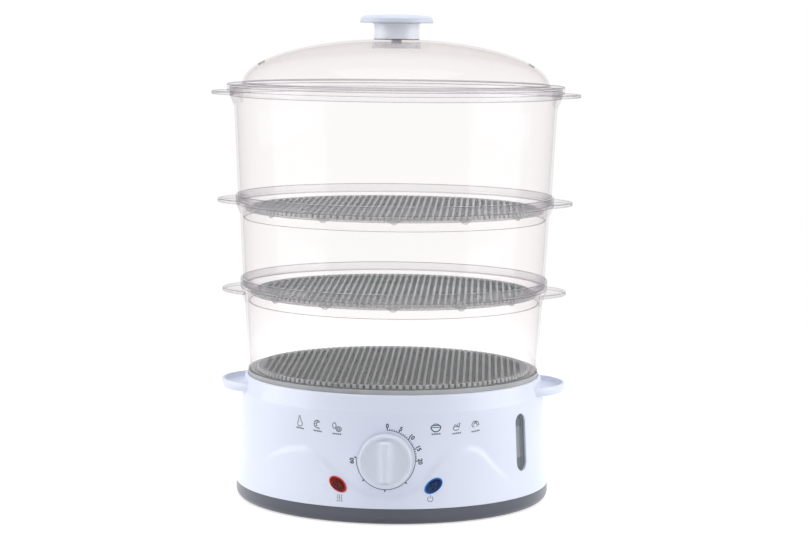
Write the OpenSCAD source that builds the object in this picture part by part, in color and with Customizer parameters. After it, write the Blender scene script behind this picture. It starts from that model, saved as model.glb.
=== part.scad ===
// Round electric food steamer: a heated base with a 60-minute timer, three clear stacking
// baskets and a domed lid.  The front of the appliance faces -Y and it stands on Z = 0.

/* [Base housing] */
// Widest diameter of the housing, at the seam with the foot pan
base_d = 260; // [248:1:280]
// Height from the table to the rim of the housing
base_h = 102.4; // [100:0.2:112]
// Lean of the housing wall from the vertical, in degrees
wall_lean = 3.5; // [2.5:0.1:4.5]
// Height of the band under the rim
band_h = 13.4; // [12:0.2:18]
// How far the band draws in from its foot to the rim
band_draw = 2.4; // [1.6:0.1:3.2]
// Wall thickness of the housing
shell_wall = 2.4; // [2:0.1:3]
// Height of the grey foot pan, without its feet
pan_h = 12; // [10:0.5:16]
// Radius of the foot pan's lower corner
pan_corner = 8; // [4:0.5:9]
// How far the rubber feet stand below the pan
foot_h = 1.5; // [1:0.1:3]
// Diameter of each foot
foot_d = 18; // [12:1:24]

/* [Base handles] */
// How far each handle stands out from the housing
ear_reach = 18; // [14:1:24]
// Width of each handle where it leaves the housing
ear_w = 80; // [60:2:96]
// Thickness of each handle
ear_t = 7.5; // [6:0.5:9]
// Drop from the rim of the housing to the top of the handle
ear_drop = 5.4; // [4.5:0.1:7]
// Width of the raised lip round each handle
ear_lip = 3; // [2:0.5:5]
// Depth of the dish inside that lip
ear_dish = 4; // [2:0.5:5]

/* [Controls] */
// Height of the timer knob's centre
dial_z = 52; // [48:0.5:54]
// Diameter of the timer knob
knob_d = 42; // [36:1:46]
// Height of the knob's rim ring above the housing
knob_h = 12; // [10:0.5:14]
// Height of the grip bar above the housing
grip_h = 16; // [15:0.5:22]
// Diameter of the timer's shaft
shaft_d = 6; // [5:0.5:8]
// Angle of each indicator lens from the front
lens_angle = 17; // [16.5:0.1:20]
// Height of the indicator lenses
lens_z = 31.4; // [28:0.2:34]
// Length of an indicator lens
lens_l = 16.5; // [13:0.5:17]
// Width of an indicator lens
lens_w = 10; // [9:0.2:13]
// Turn of each lens about its own centre
lens_turn = 35; // [0:5:45]
// Angle of the water gauge from the front
gauge_angle = 57; // [52:1:64]
// Height of the water gauge's centre
gauge_z = 57.6; // [56:0.2:60]
// Width of the water gauge's window
gauge_w = 14.4; // [10:0.2:16]
// Length of the water gauge's window
gauge_l = 46.6; // [36:0.2:48]

/* [Tank and heater] */
// Inner radius of the water tank
tank_r = 86; // [78:1:87]
// Height of the tank's floor above the table
tank_floor_z = 36; // [34:0.5:38]
// Wall thickness of the tank
tank_wall = 2; // [1.6:0.1:2.4]
// Radius of the opening that the heater plate stands in
heater_r = 36; // [30:1:40]
// Radius of the heating tube
element_r = 4; // [3:0.25:4.5]
// Inner radius of the removable steam ring
ring_r = 46; // [44:1:52]
// Height of the steam ring
ring_h = 40; // [30:1:42]

/* [Baskets] */
// Wall thickness of the clear baskets
basket_wall = 1.8; // [1.4:0.1:2.2]
// Outward lean of the basket walls, in degrees
basket_lean = 2.8; // [2:0.1:3.5]
// Height of the lower basket
lower_h = 84; // [72:1:110]
// Height of the middle basket
middle_h = 89; // [76:1:110]
// Height of the upper basket
upper_h = 108.5; // [84:0.5:130]
// Depth that one basket sinks into the one below
nest_depth = 20; // [18:0.5:24]
// Depth of the collar that holds the next basket
collar_depth = 6.5; // [5:0.5:8]
// Height of the cone that widens the wall into the collar
flare_h = 10; // [6:1:12]
// Height of a basket's floor above its lower edge
floor_lift = 8; // [6:0.5:9]
// Thickness of a basket's floor
floor_t = 2.4; // [2:0.2:3]
// Width of the ledge inside a basket's wall that its floor lies on
floor_ledge = 1.8; // [1.2:0.1:2.4]
// Distance from one drain hole to the next
hole_pitch = 16.5; // [11:0.5:22]
// Side of a square drain hole
hole_side = 11.5; // [6:0.5:14]
// Number of drip points under a basket's floor
drip_count = 13; // [8:1:16]
// How far a basket's handles stand out from its collar
lug_reach = 15.5; // [12:0.5:20]
// Width of a basket's handle where it leaves the collar
lug_w = 76; // [56:2:84]
// Drop from the lower basket's rim to its handles
lower_lug_drop = 9.5; // [8:0.5:12]
// Drop from the middle basket's rim to its handles
middle_lug_drop = 4.5; // [4:0.5:10]

/* [Lid] */
// Rise of the lid's dome
dome_rise = 37.4; // [30:0.2:46]
// Wall thickness of the lid
lid_wall = 1.8; // [1.4:0.1:2.2]
// Width of the flange round the dome
flange_w = 11; // [8:0.5:14]
// Depth of the skirt that drops over the upper basket
lid_skirt = 5.8; // [4:0.2:7]
// Diameter of the lid's knob
lid_knob_d = 60.8; // [50:0.4:70]
// Diameter of the knob's stem
lid_stem_d = 38.4; // [28:0.4:44]
// Height of the lid's knob above the dome
lid_knob_h = 20.6; // [16:0.2:28]

/* [Fits] */
// Gap under a piece that is only set down
seat_gap = 0.3; // [0.2:0.05:0.5]
// Gap round a piece that drops into another
nest_gap = 0.5; // [0.4:0.05:0.8]
// Gap round a basket's floor inside the wall
floor_gap = 0.2; // [0.1:0.05:0.5]
// Gap round a turning shaft
run_gap = 0.05; // [0.03:0.01:0.1]

/* [Hidden] */
$fn = 96;
cut = 1;         // overshoot of a cutting shape past the face it opens
bite = 0.5;      // depth that a rib or boss runs into the wall it grows from

white_plastic = [0.91, 0.93, 0.97];
grey_plastic = [0.42, 0.44, 0.47];
clear_plastic = [0.93, 0.91, 0.92, 0.35];
metal = [0.72, 0.73, 0.74];

// --- Heights and radii of the housing
base_r = base_d / 2;
seam_z = foot_h + pan_h;
band_z = base_h - band_h;
function wall_r(z) = base_r - (z - seam_z) * tan(wall_lean);
band_r = wall_r(band_z);
rim_r = band_r - band_draw;
rim_inner_r = rim_r - shell_wall;
rim_chamfer = 0.8;

// --- Flanges that lie on each other under the rim, from the top down
tray_recess = 4.5;
tray_flange_t = 2;
tank_flange_t = 2.2;
ledge_t = 3;
ledge_w = 5;
tray_z = base_h - tray_recess;
tank_top_z = tray_z - tray_flange_t - seat_gap;
ledge_z = tank_top_z - tank_flange_t;

// --- Screws that hold the foot pan
post_r = base_r - 18;
post_angles = [45, 135, 225, 315];
foot_ring_r = base_r - 25;
foot_angles = [25, 155, 205, 335];
post_od = 8;
post_top_z = 44;
pan_floor_t = 2.2;
pan_lip_h = 3.5;
screw_d = 3;
screw_head_d = 6.2;
screw_head_h = 2.2;
screw_gap = 0.05;

// A frame on the housing wall: X level, Y up the wall and Z straight out of it
module on_wall(angle, z) {
    rotate([0, 0, angle])
        translate([0, -wall_r(z), z])
            rotate([90 - wall_lean, 0, 0])
                children();
}

// A slot outline, l long along X and w wide
module slot(l, w) {
    square([l - w, w], center = true);
    for (side = [-1, 1])
        translate([side * (l - w) / 2, 0])
            circle(d = w);
}

// A slab with that outline from height z0 to z1
module slot_slab(l, w, z0, z1) {
    translate([0, 0, z0])
        linear_extrude(z1 - z0)
            slot(l, w);
}

module tube(od, id, z0, z1) {
    difference() {
        translate([0, 0, z0])
            cylinder(d = od, h = z1 - z0);
        translate([0, 0, z0 - cut])
            cylinder(d = id, h = z1 - z0 + 2 * cut);
    }
}

// A round-headed screw along Z: its head ends at z = 0 and its shank rises to z = length
module screw(length) {
    translate([0, 0, -screw_head_h])
        cylinder(d = screw_head_d, h = screw_head_h);
    cylinder(d = screw_d, h = length);
}

// --- Handles: a crescent that leaves a circle of radius r by "reach", "w" wide
function crescent_chord_x(r, w) = sqrt(r * r - w * w / 4);
function crescent_sag(r, reach, w) = r + reach - crescent_chord_x(r, w);
function crescent_r(r, reach, w) =
    (w * w / 4 + pow(crescent_sag(r, reach, w), 2)) / (2 * crescent_sag(r, reach, w));

module crescent(r, reach, w, inset, z0, z1) {
    arc_r = crescent_r(r, reach, w);
    translate([r + reach - arc_r, 0, z0])
        cylinder(r = arc_r - inset, h = z1 - z0);
}

// ------------------------------------------------------------------ base housing

ear_top_z = base_h - ear_drop;

module ears() {
    for (side = [0, 180])
        rotate([0, 0, side])
            difference() {
                crescent(band_r, ear_reach, ear_w, 0, ear_top_z - ear_t, ear_top_z);
                difference() {
                    crescent(band_r, ear_reach, ear_w, ear_lip,
                             ear_top_z - ear_dish, ear_top_z + cut);
                    cylinder(r = band_r, h = base_h);
                }
                cylinder(r = rim_inner_r + shell_wall / 2, h = base_h);
            }
}

module shell_body() {
    rotate_extrude()
        polygon([
            [base_r, seam_z],
            [band_r, band_z],
            [rim_r, base_h - rim_chamfer],
            [rim_r - rim_chamfer, base_h],
            [rim_inner_r, base_h],
            [rim_inner_r, ledge_z],
            [rim_inner_r - ledge_w, ledge_z],
            [rim_inner_r - ledge_w, ledge_z - ledge_t],
            [wall_r(ledge_z - ledge_t) - shell_wall, ledge_z - ledge_t],
            [base_r - shell_wall, seam_z]
        ]);
}

// Posts that take the pan screws, each with a web out to the wall
module shell_posts() {
    web_t = 2;
    foot_z = seam_z + pan_lip_h;
    for (angle = post_angles)
        rotate([0, 0, angle]) {
            translate([0, -post_r, foot_z])
                cylinder(d = post_od, h = post_top_z - foot_z);
            translate([-web_t / 2, -wall_r(post_top_z) + shell_wall - bite, foot_z])
                cube([web_t, wall_r(post_top_z) - shell_wall + bite - post_r, post_top_z - foot_z]);
        }
}

timer_plate_z = -7.5;
timer_plate_t = 1.5;
timer_screw_x = 22;

module timer_posts() {
    on_wall(0, dial_z)
        for (side = [-1, 1])
            translate([side * timer_screw_x, 0, timer_plate_z])
                cylinder(d = 7, h = -timer_plate_z - shell_wall);
}

wall_opening_gap = 0.2;
gland_body_d = 13;
gland_flange_d = 18;
gland_z = seam_z + pan_lip_h + gland_flange_d / 2 + 2;

module wall_openings() {
    on_wall(0, dial_z)
        translate([0, 0, -4 * shell_wall])
            cylinder(d = shaft_d + 2, h = 8 * shell_wall);
    for (side = [-1, 1])
        on_wall(side * lens_angle, lens_z)
            rotate([0, 0, side * lens_turn])
                slot_slab(lens_l + 2 * wall_opening_gap, lens_w + 2 * wall_opening_gap,
                          -4 * shell_wall, 4 * shell_wall);
    on_wall(gauge_angle, gauge_z)
        rotate([0, 0, 90])
            slot_slab(gauge_l, gauge_w, -4 * shell_wall, 4 * shell_wall);
    on_wall(180, gland_z)
        translate([0, 0, -4 * shell_wall])
            cylinder(d = gland_body_d + 2 * wall_opening_gap, h = 8 * shell_wall);
}

module base_shell() {
    color(white_plastic)
        difference() {
            union() {
                shell_body();
                ears();
                shell_posts();
                timer_posts();
            }
            wall_openings();
            for (angle = post_angles)
                rotate([0, 0, angle])
                    translate([0, -post_r, 0])
                        cylinder(d = screw_d + 2 * screw_gap, h = post_top_z - 2);
            on_wall(0, dial_z)
                for (side = [-1, 1])
                    translate([side * timer_screw_x, 0, timer_plate_z - cut])
                        cylinder(d = screw_d + 2 * screw_gap, h = 6 + cut);
        }
}

// ------------------------------------------------------------------ foot pan

post_boss_d = 11;
counterbore_h = 6;

module pan_body() {
    corner_r = base_r - pan_corner;
    corner_z = foot_h + pan_corner;
    wall = shell_wall;
    rotate_extrude()
        polygon(concat(
            [[0, foot_h]],
            [for (a = [90:-15:0]) [corner_r + pan_corner * cos(a), corner_z - pan_corner * sin(a)]],
            [
                [base_r, seam_z],
                [base_r - wall - nest_gap, seam_z],
                [base_r - wall - nest_gap, seam_z + pan_lip_h],
                [base_r - 2 * wall, seam_z + pan_lip_h],
                [base_r - 2 * wall, corner_z],
                [corner_r - wall, foot_h + pan_floor_t],
                [0, foot_h + pan_floor_t]
            ]
        ));
}

foot_pocket = 1;
foot_stud_d = 5;
foot_stud_h = 4;

module pan_vents() {
    vent_l = 40;
    vent_w = 3.5;
    vent_pitch = 8;
    for (i = [-3:3])
        translate([0, i * vent_pitch, 0])
            slot_slab(vent_l, vent_w, foot_h - cut, foot_h + pan_floor_t + cut);
}

module foot_pan() {
    color(grey_plastic)
        difference() {
            union() {
                pan_body();
                for (angle = post_angles)
                    rotate([0, 0, angle])
                        translate([0, -post_r, foot_h])
                            cylinder(d = post_boss_d, h = pan_h + pan_lip_h);
            }
            for (angle = post_angles)
                rotate([0, 0, angle])
                    translate([0, -post_r, 0]) {
                        cylinder(d = screw_d + 0.6, h = base_h);
                        cylinder(d = screw_head_d + 0.6, h = foot_h + counterbore_h);
                    }
            for (angle = foot_angles)
                rotate([0, 0, angle])
                    translate([0, -foot_ring_r, 0]) {
                        cylinder(d = foot_d + 0.4, h = foot_h + foot_pocket);
                        cylinder(d = foot_stud_d + 0.2, h = base_h);
                    }
            pan_vents();
        }
}

module rubber_feet() {
    color([0.12, 0.12, 0.13])
        for (angle = foot_angles)
            rotate([0, 0, angle])
                translate([0, -foot_ring_r, 0]) {
                    cylinder(d = foot_d, h = foot_h + foot_pocket);
                    cylinder(d = foot_stud_d, h = foot_h + foot_pocket + foot_stud_h);
                }
}

module base_screws() {
    color(metal)
        for (angle = post_angles)
            rotate([0, 0, angle])
                translate([0, -post_r, foot_h + counterbore_h])
                    screw(post_top_z - foot_h - counterbore_h - 6);
}

// ------------------------------------------------------------------ water tank

tank_turn_z = tank_top_z - 17;
tank_flange_r = rim_inner_r - nest_gap;
tank_mouth_r = rim_inner_r - ledge_w - 1;
tank_floor_t = 2.4;
tank_base_z = tank_floor_z - tank_floor_t;
clamp_screw_r = heater_r + 11;
clamp_screw_angles = [30, 150, 270];
clamp_boss_h = 3.4;
gauge_pipe_d = 8;
gauge_low_z = gauge_z - 16;
gauge_high_z = gauge_z + 15;

module gauge_pipe_holes(d) {
    for (z = [gauge_low_z, gauge_high_z])
        rotate([0, 0, gauge_angle])
            translate([0, -tank_r + 6, z])
                rotate([90, 0, 0])
                    cylinder(d = d, h = 12 + tank_wall);
}

module water_tank() {
    out_r = tank_r + tank_wall;
    color([0.93, 0.94, 0.96])
        difference() {
            union() {
                rotate_extrude()
                    polygon([
                        [heater_r, tank_base_z],
                        [out_r, tank_base_z],
                        [out_r, tank_turn_z],
                        [tank_mouth_r, ledge_z],
                        [tank_flange_r, ledge_z],
                        [tank_flange_r, tank_top_z],
                        [tank_mouth_r - tank_wall / 2, tank_top_z],
                        [tank_r, tank_turn_z + tank_wall / 2],
                        [tank_r, tank_floor_z],
                        [heater_r, tank_floor_z]
                    ]);
                for (angle = clamp_screw_angles)
                    rotate([0, 0, angle])
                        translate([0, -clamp_screw_r, tank_base_z - clamp_boss_h])
                            cylinder(d = 8, h = clamp_boss_h + bite);
            }
            gauge_pipe_holes(gauge_pipe_d + 0.2);
            for (angle = clamp_screw_angles)
                rotate([0, 0, angle])
                    translate([0, -clamp_screw_r, tank_base_z - clamp_boss_h - cut])
                        cylinder(d = screw_d + 2 * screw_gap, h = clamp_boss_h + cut + 1.2);
        }
}

// ------------------------------------------------------------------ heater

seal_t = 2.2;
seal_w = 5;
plate_t = 1.2;
plate_rise = 6.8;
plate_flange_r = heater_r + seal_w + 1;
plate_wall_r = heater_r - 1;
flange_top_z = tank_base_z - seal_t;
clamp_t = 1.2;
plate_top_z = flange_top_z + plate_rise;
element_ring_r = plate_wall_r - plate_t - element_r - 5;
heater_gap = 0.1;
pin_d = 4;
pin_drop = 13;
element_z = plate_top_z - plate_t - heater_gap - element_r;
element_open = 50;

module heater_plate() {
    color(metal)
        rotate_extrude()
            polygon([
                [0, plate_top_z - plate_t],
                [plate_wall_r - plate_t, plate_top_z - plate_t],
                [plate_wall_r - plate_t, flange_top_z - plate_t],
                [plate_flange_r, flange_top_z - plate_t],
                [plate_flange_r, flange_top_z],
                [plate_wall_r, flange_top_z],
                [plate_wall_r, plate_top_z - 1],
                [plate_wall_r - 1, plate_top_z],
                [0, plate_top_z]
            ]);
}

module heater_seal() {
    color([0.75, 0.25, 0.2])
        tube(2 * (heater_r + seal_w), 2 * (heater_r + 0.4), flange_top_z, tank_base_z);
}

module heater_clamp() {
    z1 = flange_top_z - plate_t;
    color([0.6, 0.61, 0.62])
        difference() {
            tube(2 * clamp_screw_r + 12, 2 * (heater_r - 1), z1 - clamp_t, z1);
            for (angle = clamp_screw_angles)
                rotate([0, 0, angle])
                    translate([0, -clamp_screw_r, 0])
                        cylinder(d = screw_d + 0.6, h = base_h);
        }
}

module clamp_screws() {
    color(metal)
        for (angle = clamp_screw_angles)
            rotate([0, 0, angle])
                translate([0, -clamp_screw_r, flange_top_z - plate_t - clamp_t])
                    screw(clamp_t + clamp_boss_h + 1);
}

module heating_element() {
    pin_shift = element_open / 2;
    color([0.35, 0.33, 0.32]) {
        difference() {
            translate([0, 0, element_z])
                rotate_extrude()
                    translate([element_ring_r, 0])
                        circle(r = element_r);
            translate([0, 0, element_z - 2 * element_r])
                linear_extrude(4 * element_r)
                    polygon([[0, 0],
                             [2 * element_ring_r * sin(pin_shift), 2 * element_ring_r * cos(pin_shift)],
                             [-2 * element_ring_r * sin(pin_shift), 2 * element_ring_r * cos(pin_shift)]]);
        }
        for (side = [-1, 1])
            rotate([0, 0, 90 + side * pin_shift])
                translate([element_ring_r, 0, element_z]) {
                    sphere(r = element_r);
                    translate([0, 0, -pin_drop])
                        cylinder(d = pin_d, h = pin_drop);
                }
    }
}

thermostat_r = 9;
thermostat_h = 9;

module thermostat() {
    top_z = plate_top_z - plate_t - heater_gap;
    color([0.15, 0.15, 0.16]) {
        translate([0, 0, top_z - thermostat_h])
            cylinder(r = thermostat_r, h = thermostat_h);
        for (side = [-1, 1])
            translate([side * 5 - 0.4, -3, top_z - thermostat_h - 6])
                cube([0.8, 6, 6 + bite]);
    }
}

module thermal_fuse() {
    fuse_r = 2;
    fuse_y = -14;
    color([0.85, 0.83, 0.78])
        translate([-7, fuse_y, plate_top_z - plate_t - heater_gap - fuse_r])
            rotate([0, 90, 0])
                cylinder(r = fuse_r, h = 14);
}

// ------------------------------------------------------------------ water gauge

window_face_z = -1.4;
window_t = 1.8;
chamber_front_z = window_face_z - window_t;
chamber_deep = 9;
chamber_wall = 2;

module gauge_window() {
    color([0.75, 0.8, 0.84, 0.5])
        on_wall(gauge_angle, gauge_z)
            rotate([0, 0, 90])
                slot_slab(gauge_l - 2 * wall_opening_gap, gauge_w - 2 * wall_opening_gap,
                          chamber_front_z, window_face_z);
}

module gauge_chamber() {
    chamber_back_z = chamber_front_z - chamber_deep;
    color([0.4, 0.42, 0.44])
        difference() {
            union() {
                on_wall(gauge_angle, gauge_z)
                    rotate([0, 0, 90])
                        slot_slab(gauge_l + 2 * chamber_wall, gauge_w + 2 * chamber_wall,
                                  chamber_back_z, chamber_front_z);
                rotate([0, 0, gauge_angle])
                    for (z = [gauge_low_z, gauge_high_z])
                        translate([0, -tank_r + 1, z])
                            rotate([90, 0, 0])
                                cylinder(d = gauge_pipe_d, h = wall_r(z) - tank_r - chamber_deep);
            }
            on_wall(gauge_angle, gauge_z)
                rotate([0, 0, 90])
                    slot_slab(gauge_l - 2, gauge_w - 2, chamber_back_z + chamber_wall, cut);
            rotate([0, 0, gauge_angle])
                for (z = [gauge_low_z, gauge_high_z])
                    translate([0, -tank_r + 2, z])
                        rotate([90, 0, 0])
                            cylinder(d = gauge_pipe_d - 3, h = wall_r(z) - tank_r - chamber_deep + 3);
        }
}

// ------------------------------------------------------------------ timer and its knob

timer_w = 42;
timer_deep = 24;
timer_back_z = timer_plate_z - timer_plate_t - timer_deep;
bell_d = 34;
bell_h = 4;
shaft_in = 20;
shaft_top_z = 12;
hub_d = 11;
knob_gap = 0.8;
knob_dish = 7;
knob_ring_w = 2.6;
grip_top_w = 7.4;
grip_foot_w = 4.6;
grip_flank_w = 17;

module timer_body() {
    plate_l = 52;
    color([0.82, 0.8, 0.74])
        on_wall(0, dial_z)
            difference() {
                union() {
                    translate([-plate_l / 2, -timer_w / 2, timer_plate_z - timer_plate_t])
                        cube([plate_l, timer_w, timer_plate_t]);
                    translate([-timer_screw_x + 4.5, -timer_w / 2, timer_back_z])
                        cube([2 * timer_screw_x - 9, timer_w, timer_deep + bite]);
                    translate([0, 0, timer_back_z - bell_h])
                        cylinder(d = bell_d, h = bell_h + bite);
                }
                translate([0, 0, timer_plate_z - shaft_in])
                    cylinder(d = shaft_d + 2 * run_gap, h = shaft_in + cut);
                for (side = [-1, 1])
                    translate([side * timer_screw_x, 0, timer_plate_z - timer_plate_t - cut])
                        cylinder(d = screw_d + 0.4, h = timer_plate_t + 2 * cut);
            }
}

module timer_screws() {
    color(metal)
        on_wall(0, dial_z)
            for (side = [-1, 1])
                translate([side * timer_screw_x, 0, timer_plate_z - timer_plate_t])
                    screw(timer_plate_t + 4.5);
}

module timer_shaft() {
    flat_h = 9;
    color(metal)
        on_wall(0, dial_z)
            difference() {
                translate([0, 0, timer_plate_z - shaft_in + seat_gap])
                    cylinder(d = shaft_d, h = shaft_top_z - timer_plate_z + shaft_in - seat_gap);
                translate([-shaft_d, shaft_d / 4, shaft_top_z - flat_h])
                    cube([2 * shaft_d, shaft_d, flat_h + cut]);
            }
}

// The grip bar is widest at the end that points at the scale. Its flanks spread over the dish
// and hold the shaft's socket
module grip_bar() {
    half = knob_d / 2 - 4;
    socket_w = shaft_d / 2 + run_gap + 0.9;
    socket_z = shaft_top_z + seat_gap + 0.6;
    linear_extrude(grip_h - 1.5)
        polygon([[-grip_foot_w / 2, -half], [grip_foot_w / 2, -half],
                 [grip_top_w / 2, half], [-grip_top_w / 2, half]]);
    translate([0, 0, grip_h - 1.5])
        linear_extrude(1.5)
            polygon([[-grip_foot_w / 2 + 1, -half + 1.4], [grip_foot_w / 2 - 1, -half + 1.4],
                     [grip_top_w / 2 - 1, half - 1.4], [-grip_top_w / 2 + 1, half - 1.4]]);
    translate([0, half - 1, 0])
        rotate([90, 0, 0])
            linear_extrude(2 * half - 2)
                polygon([[-grip_flank_w / 2, 0], [grip_flank_w / 2, 0],
                         [grip_flank_w / 2, knob_h - knob_dish + 0.4],
                         [socket_w + 1.2, knob_h - knob_dish + 3], [socket_w, socket_z],
                         [-socket_w, socket_z],
                         [-socket_w - 1.2, knob_h - knob_dish + 3],
                         [-grip_flank_w / 2, knob_h - knob_dish + 0.4]]);
}

module timer_knob() {
    floor_z = knob_h - knob_dish;
    knob_r = knob_d / 2;
    color(white_plastic)
        on_wall(0, dial_z)
            difference() {
                union() {
                    rotate_extrude()
                        polygon([
                            [knob_r - 2, knob_gap],
                            [knob_r, knob_gap],
                            [knob_r - 0.8, knob_h - 1],
                            [knob_r - 1.6, knob_h],
                            [knob_r - knob_ring_w, knob_h],
                            [knob_r - knob_ring_w - 2, floor_z + 1],
                            [knob_r - knob_ring_w - 4, floor_z],
                            [0, floor_z],
                            [0, floor_z - 2],
                            [knob_r - knob_ring_w - 2, floor_z - 2]
                        ]);
                    translate([0, 0, floor_z - bite])
                        difference() {
                            translate([0, 0, -floor_z + bite])
                                grip_bar();
                            translate([-knob_r, -knob_r, -knob_r])
                                cube([knob_d, knob_d, knob_r]);
                        }
                    translate([0, 0, knob_gap])
                        cylinder(d = hub_d, h = floor_z - knob_gap);
                }
                translate([0, 0, -cut])
                    intersection() {
                        cylinder(d = shaft_d + 2 * run_gap, h = shaft_top_z + cut + seat_gap);
                        union() {
                            cylinder(d = 2 * shaft_d, h = cut + shaft_top_z - 9);
                            translate([-shaft_d, -shaft_d, 0])
                                cube([2 * shaft_d, 1.25 * shaft_d + run_gap, base_h]);
                        }
                    }
            }
}

// ------------------------------------------------------------------ indicator lamps

lens_proud = 1.2;
lens_flange = 1.8;
lens_flange_t = 1.2;
lens_back_z = -shell_wall - 1.8;
holder_l = 20;
holder_d = 10;
lamp_d = 6;

module lens(side) {
    on_wall(side * lens_angle, lens_z)
        rotate([0, 0, side * lens_turn]) {
            slot_slab(lens_l, lens_w, lens_back_z, lens_proud - 0.5);
            slot_slab(lens_l - 1, lens_w - 1, lens_proud - 0.5, lens_proud);
            slot_slab(lens_l + lens_flange, lens_w + lens_flange,
                      lens_back_z, lens_back_z + lens_flange_t);
        }
}

module heating_lens() {
    color([0.85, 0.06, 0.05, 0.8])
        lens(-1);
}

module power_lens() {
    color([0.05, 0.2, 0.6, 0.8])
        lens(1);
}

module lamp_holders() {
    color([0.9, 0.9, 0.88])
        for (side = [-1, 1])
            on_wall(side * lens_angle, lens_z)
                tube(holder_d, lamp_d + 0.4, lens_back_z - holder_l, lens_back_z);
}

module neon_lamps() {
    color([0.9, 0.6, 0.4, 0.6])
        for (side = [-1, 1])
            on_wall(side * lens_angle, lens_z)
                translate([0, 0, lens_back_z - holder_l + 1])
                    cylinder(d = lamp_d, h = holder_l - 3);
}

// ------------------------------------------------------------------ mains inlet and wiring

gland_bore_d = 7.4;
gland_flange_t = 2.6;
gland_nut_t = 4;

// The nut's flat face clears the hollow of the wall by the wall's sag across its width
module cord_gland() {
    sag = pow(gland_flange_d, 2) / (8 * base_r);
    inner_z = -shell_wall - sag - seat_gap;
    color([0.2, 0.2, 0.22])
        on_wall(180, gland_z)
            difference() {
                union() {
                    translate([0, 0, 0.1])
                        cylinder(d = gland_flange_d, h = gland_flange_t);
                    translate([0, 0, inner_z - gland_nut_t])
                        cylinder(d = gland_body_d, h = gland_nut_t - inner_z + gland_flange_t);
                    translate([0, 0, inner_z - gland_nut_t])
                        cylinder(d = gland_flange_d, h = gland_nut_t);
                }
                translate([0, 0, inner_z - gland_nut_t - cut])
                    cylinder(d = gland_bore_d, h = gland_nut_t - inner_z + gland_flange_t + 3 * cut);
            }
}

block_l = 40;
block_w = 16;
block_h = 14;
block_y = 84;
block_z = foot_h + pan_floor_t;

module terminal_block() {
    color([0.88, 0.86, 0.8])
        difference() {
            translate([-block_l / 2, block_y - block_w / 2, block_z])
                cube([block_l, block_w, block_h]);
            for (i = [-1, 0, 1])
                translate([i * 13, block_y, block_z + block_h - 6])
                    cylinder(d = 5, h = 6 + cut);
        }
}

wire_d = 2.6;
wire_z = 12;
elbow_d = wire_d + 0.4;

// A wire through the points: straight runs with a slightly fuller ball at each bend
module wire(points) {
    for (i = [0:len(points) - 2]) {
        run = points[i + 1] - points[i];
        level = norm([run.x, run.y]);
        translate(points[i])
            rotate([0, atan2(level, run.z), atan2(run.y, run.x)])
                cylinder(d = wire_d, h = norm(run));
    }
    if (len(points) > 2)
        for (i = [1:len(points) - 2])
            translate(points[i])
                sphere(d = elbow_d);
}

module inner_wires() {
    front = block_y - block_w / 2 - seat_gap;
    pin_x = element_ring_r * sin(element_open / 2);
    pin_y = element_ring_r * cos(element_open / 2);
    pin_z = element_z - pin_drop - seat_gap;
    tag_z = plate_top_z - plate_t - heater_gap - thermostat_h - 6 - seat_gap;
    timer_y = -wall_r(dial_z) - timer_plate_z + timer_deep * 2 / 3;
    timer_z = dial_z - timer_w / 2 - 2;
    color([0.7, 0.1, 0.1]) {
        wire([[-13, front, wire_z], [-13, front - 6, wire_z], [-40, 20, wire_z],
              [-12, timer_y, wire_z], [-12, timer_y, timer_z]]);
        wire([[pin_x, front, wire_z], [pin_x, pin_y, wire_z], [pin_x, pin_y, pin_z]]);
        wire([[-pin_x, pin_y, pin_z], [-pin_x, pin_y, wire_z], [-5, 0, wire_z], [-5, 0, tag_z]]);
        wire([[5, 0, tag_z], [5, 0, wire_z], [12, timer_y, wire_z], [12, timer_y, timer_z]]);
    }
}

// ------------------------------------------------------------------ steam ring and drip tray

module steam_ring() {
    z0 = tank_floor_z + seat_gap;
    ring_wall = 2;
    notch_w = 14;
    notch_h = 5;
    color([0.86, 0.88, 0.9])
        difference() {
            union() {
                tube(2 * (ring_r + ring_wall), 2 * ring_r, z0, z0 + ring_h);
                tube(2 * (ring_r + ring_wall) + 4, 2 * ring_r, z0 + ring_h - 2, z0 + ring_h);
            }
            for (angle = [0, 90])
                rotate([0, 0, angle])
                    translate([-ring_r - 5, -notch_w / 2, z0 - cut])
                        cube([2 * ring_r + 10, notch_w, notch_h + cut]);
        }
}

tray_r = rim_inner_r - nest_gap;
tray_wall = 1.8;
tray_mouth_r = tank_mouth_r - 8;
tray_floor_r = tank_r + 2;
tray_floor_z = tank_turn_z + 6;
chimney_r = 20;
chimney_top_z = tray_z - 2;
cap_z = tray_z + 0.5;
cap_t = 1.8;

module drip_tray() {
    color([0.5, 0.53, 0.53]) {
        rotate_extrude()
            polygon([
                [chimney_r, tray_floor_z + 1],
                [tray_floor_r, tray_floor_z - tray_wall],
                [tray_mouth_r + tray_wall, tray_z - tray_flange_t],
                [tray_r, tray_z - tray_flange_t],
                [tray_r, tray_z],
                [tray_mouth_r, tray_z],
                [tray_floor_r - 1, tray_floor_z],
                [chimney_r + tray_wall, tray_floor_z + 1 + tray_wall],
                [chimney_r + tray_wall, chimney_top_z],
                [chimney_r, chimney_top_z]
            ]);
        for (angle = [45:90:315])
            rotate([0, 0, angle])
                translate([chimney_r - 1, -2, chimney_top_z - 4])
                    cube([tray_wall + 2, 4, cap_z - chimney_top_z + 4 + bite]);
        translate([0, 0, cap_z])
            cylinder(r = chimney_r + 4, h = cap_t);
    }
}

// ------------------------------------------------------------------ baskets

// The upper basket's handles lie just under the lid's skirt
upper_lug_drop = lid_skirt - lid_wall - seat_gap + nest_gap;

// Radius gained by a basket wall over a rise dz
function lean_gain(dz) = dz * tan(basket_lean);
collar_step = 1;

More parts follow.
